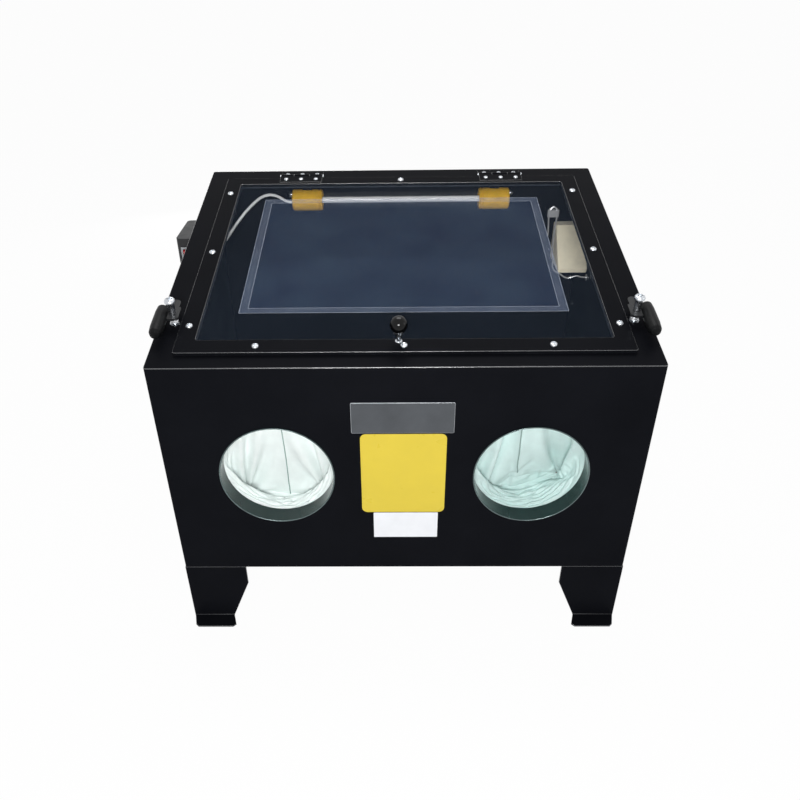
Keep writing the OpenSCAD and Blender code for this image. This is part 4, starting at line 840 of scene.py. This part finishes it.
@dataclass
class Glove:
    """A limp glove: a sleeve of cloth that hangs from its collar, and an empty hand on the grate."""

    side: Side
    around: int = 68
    along: int = 36
    cuff_rings: int = 4
    cuff_l: float = 17 * MM
    skin: float = 1.8 * MM
    top_l: float = 164 * MM
    bottom_l: float = 44 * MM
    cut_r: float = 46 * MM
    wrist_back: float = 42 * MM
    wrist_drop: float = 76 * MM
    wrist_half_w: float = 60 * MM
    wrist_half_t: float = 6 * MM
    wrist_tilt_deg: float = 70.0
    wrist_twist_deg: float = 0.0
    frames: int = 40
    fold_gap: float = 2.5 * MM
    rest_gap: float = 2.5 * MM
    hand_back: float = 8 * MM
    hand_drop: float = 12 * MM
    hand_fall_mm: float = 52.0
    hand_voxel: float = 2.6 * MM
    seam_r: float = 0.7 * MM
    seam_steps: int = 8
    seam_column: int = 16
    seam_share: float = 1.0
    pleat: float = 0.0
    pleat_rise: int = 11
    pleat_fall: int = 6
    pleat_dip: float = 0.6
    lining: Finish = GLOVE_LINING

    def __post_init__(self) -> None:
        """Takes the collar's place and the name of the node that the glove stands for."""
        self.node = f"{self.side.name.lower()}_glove"
        low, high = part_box(f"{self.node}_collar")
        self.mouth = Vector(((low.x + high.x) / 2, high.y, (low.z + high.z) / 2))
        self.mouth_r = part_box(self.node)[1].z - self.mouth.z - self.skin / 2

    def build(self) -> None:
        """Makes the sleeve and the hand."""
        sleeve = self.sleeve()
        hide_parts(self.node)
        self.hand()

    def cut(self) -> list[Vector]:
        """Returns the sleeve's points as it was made: a tube behind the collar, cut longer at its top."""
        middle_l = (self.top_l + self.bottom_l) / 2
        points = []
        for i in range(self.along + self.cuff_rings):
            share = max(0.0, (i - self.cuff_rings) / (self.along - 1))
            radius = self.mouth_r + (self.cut_r - self.mouth_r) * share
            for a, b in circle(1.0, self.around):
                back = share * (middle_l + (self.top_l - middle_l) * b)
                if i < self.cuff_rings:
                    back = (i / self.cuff_rings - 1) * self.cuff_l
                points.append(self.mouth + Vector((radius * a, back, radius * b)))
        return points

    def wrist(self) -> list[Vector]:
        """Returns the points of the sleeve's last ring where the hand holds it, pressed flat."""
        centre = self.mouth + Vector((0, self.wrist_back, -self.wrist_drop))
        lean = Matrix.Rotation(-math.radians(self.wrist_tilt_deg), 3, "X")
        twist = Matrix.Rotation(math.radians(self.wrist_twist_deg), 3, "Y")
        ring = circle(1.0, self.around)
        flat = [Vector((self.wrist_half_w * a, 0, self.wrist_half_t * b)) for a, b in ring]
        return [centre + lean @ twist @ point for point in flat]

    def sleeve(self) -> Object:
        """Drops the sleeve under its own weight, held at the collar and at the wrist.

        Returns:
            The sleeve, black rubber outside and pale lining inside.
        """
        points = self.cut()
        rows = len(points) // self.around
        faces = []
        for i in range(rows - 1):
            for k in range(self.around):
                j = (k + 1) % self.around
                first = i * self.around
                faces.append((first + k, first + self.around + k, first + self.around + j, first + j))
        faces.append(tuple(range((rows - 1) * self.around, rows * self.around))[::-1])
        mesh = bpy.data.meshes.new("sleeve_cut")
        mesh.from_pydata(points, [], faces)
        cloth = add_object("sleeve_cut", mesh)
        self.hold(cloth, rows)
        fallen = self.drop(cloth)
        low_y = self.mouth.y
        low_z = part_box("work_grate")[1].z + self.rest_gap
        for vertex in fallen.vertices[(self.cuff_rings + 1) * self.around :]:
            vertex.co.y = max(vertex.co.y, low_y)
            vertex.co.z = max(vertex.co.z, low_z)
        self.lay_pleat(fallen, rows)
        form = bmesh.new()
        form.from_mesh(fallen)
        bpy.data.objects.remove(cloth)
        self.seam(fallen, rows)
        piece = new_piece(f"{self.node}_sleeve", form, GLOVE_RUBBER, "cabinet", tidy=False)
        piece.data.materials.append(self.lining.material())
        wall = piece.modifiers.new("wall", "SOLIDIFY")
        wall.thickness = self.skin
        wall.offset = 1.0
        wall.material_offset = 1
        smooth = piece.modifiers.new("smooth", "SUBSURF")
        smooth.levels = 1
        smooth.render_levels = 1
        return piece

    def lay_pleat(self, fallen: Mesh, rows: int) -> None:
        """Moves the lining on one side of the seam forward of the other, as a pleat that fades out.

        Args:
            fallen: The sleeve at rest.
            rows: Number of its rings.
        """
        first = self.cuff_rings + 1
        for i in range(first, rows - 1):
            fullness = math.sin(math.pi * (i - first) / (rows - 1 - first)) ** 0.5
            for k in range(self.around // 2):
                off = k - self.seam_column
                if off <= 0:
                    ahead = max(0.0, 1 + off / self.pleat_rise)
                else:
                    ahead = -self.pleat_dip * max(0.0, 1 - off / self.pleat_fall)
                fallen.vertices[i * self.around + k].co.y -= self.pleat * fullness * ahead
        fallen.update()

    def seam(self, fallen: Mesh, rows: int) -> None:
        """Makes the sewn ridge of the lining, from the collar's top down to the wrist; its darker colour
        also paints the shade of the crease it follows.

        Args:
            fallen: The sleeve at rest.
            rows: Number of its rings.
        """
        first = self.cuff_rings + 1
        last = first + round(self.seam_share * (rows - 1 - first))
        column = [fallen.vertices[i * self.around + self.seam_column] for i in range(first, last)]
        line = [v.co - self.seam_r / 3 * v.normal for v in column]
        form = bmesh.new()
        rings = []
        for here, below in zip(line, line[1:] + [2 * line[-1] - line[-2]]):
            across = Vector((1, 0, 0))
            out = across.cross(below - here).normalized()
            section = circle(self.seam_r, self.seam_steps)
            rings.append([form.verts.new(here + a * across + b * out) for a, b in section])
        for ring, after in zip(rings, rings[1:]):
            for k in range(self.seam_steps):
                form.faces.new((ring[k], ring[k - 1], after[k - 1], after[k]))
        form.faces.new(rings[0])
        form.faces.new(rings[-1])
        new_piece(f"{self.node}_seam", form, GLOVE_SEAM_AND_CREASE_SHADE, "cabinet")

    def hold(self, cloth: Object, rows: int) -> None:
        """Pins the cuff and the last ring, and moves the last ring to the wrist as time runs.

        Args:
            cloth: The sleeve as it was made.
            rows: Number of its rings.
        """
        held = cloth.vertex_groups.new(name="held")
        held.add(range((self.cuff_rings + 1) * self.around), 1.0, "REPLACE")
        last = (rows - 1) * self.around
        held.add(range(last, rows * self.around), 1.0, "REPLACE")
        cloth.shape_key_add(name="made")
        lowered = cloth.shape_key_add(name="lowered")
        for k, point in enumerate(self.wrist()):
            lowered.data[last + k].co = point
        lowered.value = 0.0
        lowered.keyframe_insert("value", frame=1)
        lowered.value = 1.0
        lowered.keyframe_insert("value", frame=self.frames // 2)

    def drop(self, cloth: Object) -> Mesh:
        """Runs the cloth and returns the mesh that it comes to rest in.

        Args:
            cloth: The held sleeve.

        Returns:
            The fallen sleeve's mesh.
        """
        scene = bpy.context.scene
        settings = cloth.modifiers.new("cloth", "CLOTH")
        settings.settings.vertex_group_mass = "held"
        for key, value in RUBBERISED_COTTON.items():
            setattr(settings.settings, key, value)
        settings.collision_settings.use_collision = False
        settings.collision_settings.use_self_collision = True
        settings.collision_settings.self_distance_min = self.fold_gap
        settings.point_cache.frame_start = 1
        settings.point_cache.frame_end = self.frames
        for moment in range(1, self.frames + 1):
            scene.frame_set(moment)
        fallen = bpy.data.meshes.new_from_object(cloth.evaluated_get(bpy.context.evaluated_depsgraph_get()))
        scene.frame_set(1)
        return fallen

    def hand(self) -> None:
        """Makes the empty hand that lies flat on the grate, its five fingers forward."""
        thumb = -self.side.value
        back, drop = self.wrist_back + self.hand_back, self.wrist_drop + self.hand_drop
        origin = self.mouth + Vector((0, back, -drop))
        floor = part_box("work_grate")[1].z + self.rest_gap
        slope = math.sin(math.radians(self.wrist_twist_deg))
        form = bmesh.new()
        for x_mm, y_mm, half in (bead for lobe in HAND for bead in lobe.beads()):
            x = thumb * x_mm * MM
            fall = min(1.0, max(0.0, y_mm / self.hand_fall_mm))
            start = origin.z - x * slope
            z = start + (floor + half.z * MM - start) * fall * fall * (3 - 2 * fall)
            spot = Matrix.Translation((origin.x + x, origin.y + y_mm * MM, z))
            size = Matrix.Diagonal((*(half * MM), 1.0))
            bmesh.ops.create_uvsphere(form, u_segments=20, v_segments=12, radius=1.0, matrix=spot @ size)
        piece = new_piece(f"{self.node}_hand", form, GLOVE_RUBBER, "cabinet")
        skin = piece.modifiers.new("skin", "REMESH")
        skin.mode = "VOXEL"
        skin.voxel_size = self.hand_voxel
        skin.use_smooth_shade = True
        calm = piece.modifiers.new("calm", "SMOOTH")
        calm.factor = 0.5
        calm.iterations = 8


@dataclass
class GlovePorts:
    """Collar beads and gloves of both ports."""

    bead_r: float = 0.7 * MM
    bead_steps: int = 96
    section_steps: int = 12

    def bead(self, side: Side) -> None:
        """Makes the rolled bead on the front edge of a collar, in a light grey that paints a highlight
        line.

        Args:
            side: Side of the collar.
        """
        name = f"{side.name.lower()}_glove_collar"
        low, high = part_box(name)
        middle = Vector(((low.x + high.x) / 2, low.y, (low.z + high.z) / 2))
        reach = (high.z - low.z) / 2 - self.bead_r
        profile = [(reach + a, b) for a, b in circle(self.bead_r, self.section_steps)]
        place = Matrix.Translation(middle) @ Matrix.Rotation(-math.pi / 2, 4, "X")
        form = turned_form(profile + profile[:1], place, self.bead_steps)
        new_piece(f"{name}_bead", form, COLLAR_BEAD_PAINTED_HIGHLIGHT, "cabinet")

    def build(self) -> None:
        """Makes the collars' beads and both gloves."""
        for side in Side:
            self.bead(side)
        Glove(Side.LEFT).build()
        # The right glove's lining takes the darker mint that paints its shade
        Glove(Side.RIGHT, wrist_drop=64 * MM, wrist_twist_deg=-18.0, seam_column=19, seam_share=0.62,
              pleat=6 * MM, lining=GLOVE_LINING_PAINTED_SHADE).build()


@dataclass
class Lamp:
    """The lamp's lead to the switch box, and the screws of its holders."""

    lead_r: float = 2.2 * MM
    lead_length: float = 0.194
    screw_r: float = 5.0 * MM
    screw_h: float = 6.5 * MM
    screw_back: float = 5.0 * MM
    screw_up: float = 7.0 * MM

    def build(self) -> None:
        """Makes the lead along its route, and a screw on each holder."""
        route = [
            (-169, 211, 446), (-175, 211, 446.2), (-182.5, 212.2, 448.8), (-189.5, 213.3, 452.8),
            (-197, 213.4, 456), (-205, 212.4, 457.4), (-212.5, 209.6, 456.8), (-220, 205.4, 454.2),
            (-227, 199.6, 450), (-234, 192.4, 445), (-241, 183.4, 439.4), (-247.5, 173.4, 433),
            (-254, 161.6, 426.4), (-260, 148.8, 419.6), (-265.5, 137.6, 413.4), (-271, 128.6, 408.8),
            (-276.5, 121.6, 405.8), (-282, 117, 404.3), (-286, 116, 404), (-289.8, 116, 404),
        ]
        points = [Vector(p) * MM for p in route]
        curve = bpy.data.curves.new("lamp_lead_sheath", "CURVE")
        curve.dimensions = "3D"
        curve.bevel_depth = self.lead_r
        curve.bevel_resolution = 4
        curve.use_fill_caps = True
        spline = curve.splines.new("POLY")
        spline.points.add(len(points) - 1)
        for knot, point in zip(spline.points, points):
            knot.co = (*point, 1.0)
        spline.use_smooth = True
        curve.materials.append(LEAD_PVC.material())
        lead = add_object("lamp_lead_sheath", curve)
        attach(lead, "cabinet")
        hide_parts("lamp_lead")
        LOG.info("built %s", lead.name)
        self.screws()

    def screws(self) -> None:
        """Makes the domed screw on the outer end of each holder."""
        low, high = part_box("lamp_holders")
        middle = (low + high) / 2
        r, h = self.screw_r, self.screw_h
        profile = [(0, 0), (r, 0), (r, 0.4 * h), (0.86 * r, 0.75 * h), (0.5 * r, 0.96 * h), (0, h)]
        for side in Side:
            end = Vector((side.value * high.x, middle.y + self.screw_back, middle.z + self.screw_up))
            turn = Matrix.Rotation(side.value * math.pi / 2, 4, "Y")
            form = turned_form(profile, Matrix.Translation(end) @ turn)
            new_piece(f"{side.name.lower()}_holder_screw", form, ZINC_PLATE, "cabinet")


@dataclass
class Studio:
    """Floor, light and camera; none of them is part of the object."""

    image_px: float = 800.0
    focal_px: float = 763.7
    middle_px: tuple[float, float] = (381.87, 451.33)
    eye: Vector = Vector((-12.3, -999.1, 808.1)) * MM
    tip_down_deg: float = 34.78
    turn_deg: float = 1.08
    roll_deg: float = -0.85
    floor_size: float = 12.0
    floor_grey: float = 0.86
    floor_white: float = 0.97
    soft_light: float = 0.15

    def camera(self) -> None:
        """Puts the camera where the photograph was taken from."""
        data = bpy.data.cameras.new("camera")
        data.sensor_width = 36.0
        data.lens = data.sensor_width * self.focal_px / self.image_px
        data.shift_x = (self.image_px / 2 - self.middle_px[0]) / self.image_px
        data.shift_y = (self.middle_px[1] - self.image_px / 2) / self.image_px
        data.clip_start, data.clip_end = 0.05, 50.0
        camera = add_object("camera", data)
        to_lens = Matrix(((1, 0, 0), (0, 0, -1), (0, 1, 0)))
        tip = Matrix.Rotation(math.radians(self.tip_down_deg), 3, "X")
        turn = Matrix.Rotation(math.radians(self.turn_deg), 3, "Y")
        roll = Matrix.Rotation(math.radians(self.roll_deg), 3, "Z")
        right, down, ahead = roll @ tip @ turn @ to_lens
        axes = Matrix((right, -down, -ahead)).transposed()
        camera.matrix_world = Matrix.Translation(self.eye) @ axes.to_4x4()
        bpy.context.scene.camera = camera

    def backdrop(self) -> None:
        """Makes a pale floor and a white surrounding that light the object plainly."""
        scene = bpy.context.scene
        scene.view_settings.view_transform = "Standard"
        form = bmesh.new()
        bmesh.ops.create_grid(form, x_segments=1, y_segments=1, size=self.floor_size)
        mesh = bpy.data.meshes.new("floor")
        form.to_mesh(mesh)
        form.free()
        floor = add_object("floor", mesh)
        paint = bpy.data.materials.new("studio_floor")
        paint.use_nodes = True
        tree = paint.node_tree
        shader = tree.nodes["Principled BSDF"]
        shader.inputs["Base Color"].default_value = (*[self.floor_grey] * 3, 1)
        shader.inputs["Roughness"].default_value = 0.9
        shader.inputs["Specular IOR Level"].default_value = 0.1
        white = add_node(tree, "Emission", inputs={"Color": (1, 1, 1, 1), "Strength": 1.0})
        share = add_node(tree, "Math", {"operation": "MULTIPLY"}, {
            0: self.seen(tree), 1: self.floor_white})
        mix = add_node(tree, "MixShader", inputs={
            0: share.outputs[0], 1: shader.outputs[0], 2: white.outputs[0]})
        tree.links.new(mix.outputs[0], tree.nodes["Material Output"].inputs["Surface"])
        mesh.materials.append(paint)
        world = bpy.data.worlds.new("studio")
        scene.world = world
        world.use_nodes = True
        tree = world.node_tree
        soft = tree.nodes["Background"]
        soft.inputs["Color"].default_value = (1, 1, 1, 1)
        soft.inputs["Strength"].default_value = self.soft_light
        bright = add_node(tree, "Background", inputs={"Color": (1, 1, 1, 1), "Strength": 1.0})
        mix = add_node(tree, "MixShader", inputs={
            0: self.seen(tree), 1: soft.outputs[0], 2: bright.outputs[0]})
        tree.links.new(mix.outputs[0], tree.nodes["World Output"].inputs["Surface"])

    def seen(self, tree: NodeTree) -> NodeSocket:
        """Returns 1 for rays that show the surrounding, straight, mirrored or through glass.

        Args:
            tree: Node tree that gets the nodes.

        Returns:
            The socket with the value.
        """
        path = add_node(tree, "LightPath")
        first = add_node(tree, "Math", {"operation": "MAXIMUM"}, {
            0: path.outputs["Is Camera Ray"], 1: path.outputs["Is Glossy Ray"]})
        return add_node(tree, "Math", {"operation": "MAXIMUM"}, {
            0: first.outputs[0], 1: path.outputs["Is Transmission Ray"]}).outputs[0]

    def lamps(self) -> None:
        """Hangs a broad soft light overhead, a slim one before the cabinet and two fills."""
        for name, place, aim, size, power in (
            ("beside_the_camera", (-0.04, -1.25, 0.82), (0, 0, 0.3), (0.4, 0.25), 12.8),
            ("overhead", (0.0, 0.55, 2.1), (0, 0, 0.4), (1.2, 0.8), 16.0),
            ("side_fill", (2.0, -0.6, 1.0), (0, 0, 0.3), (0.8, 0.8), 2.0),
            ("rear_fill", (-0.5, 1.7, 0.3), (0, 0.26, 0.25), (0.8, 0.4), 5.0),
        ):
            data = bpy.data.lights.new(name, "AREA")
            data.shape = "RECTANGLE"
            data.size, data.size_y = size
            data.energy = power
            lamp = add_object(name, data)
            lamp.location = place
            lamp.rotation_euler = (Vector(aim) - Vector(place)).to_track_quat("-Z", "Y").to_euler()


def main() -> None:
    """Builds the studio and the soft and thin pieces, and dresses the CAD nodes."""
    logging.basicConfig(level=logging.INFO, format="%(name)s: %(message)s")
    studio = Studio()
    studio.camera()
    Lamp().build()
    studio.backdrop()
    studio.lamps()
    for pieces in (Front(), Film(TopPlane.from_frame()), GlovePorts()):
        pieces.build()
    for row in DRESSING:
        dress(*row)


if __name__ == "__main__":
    main()
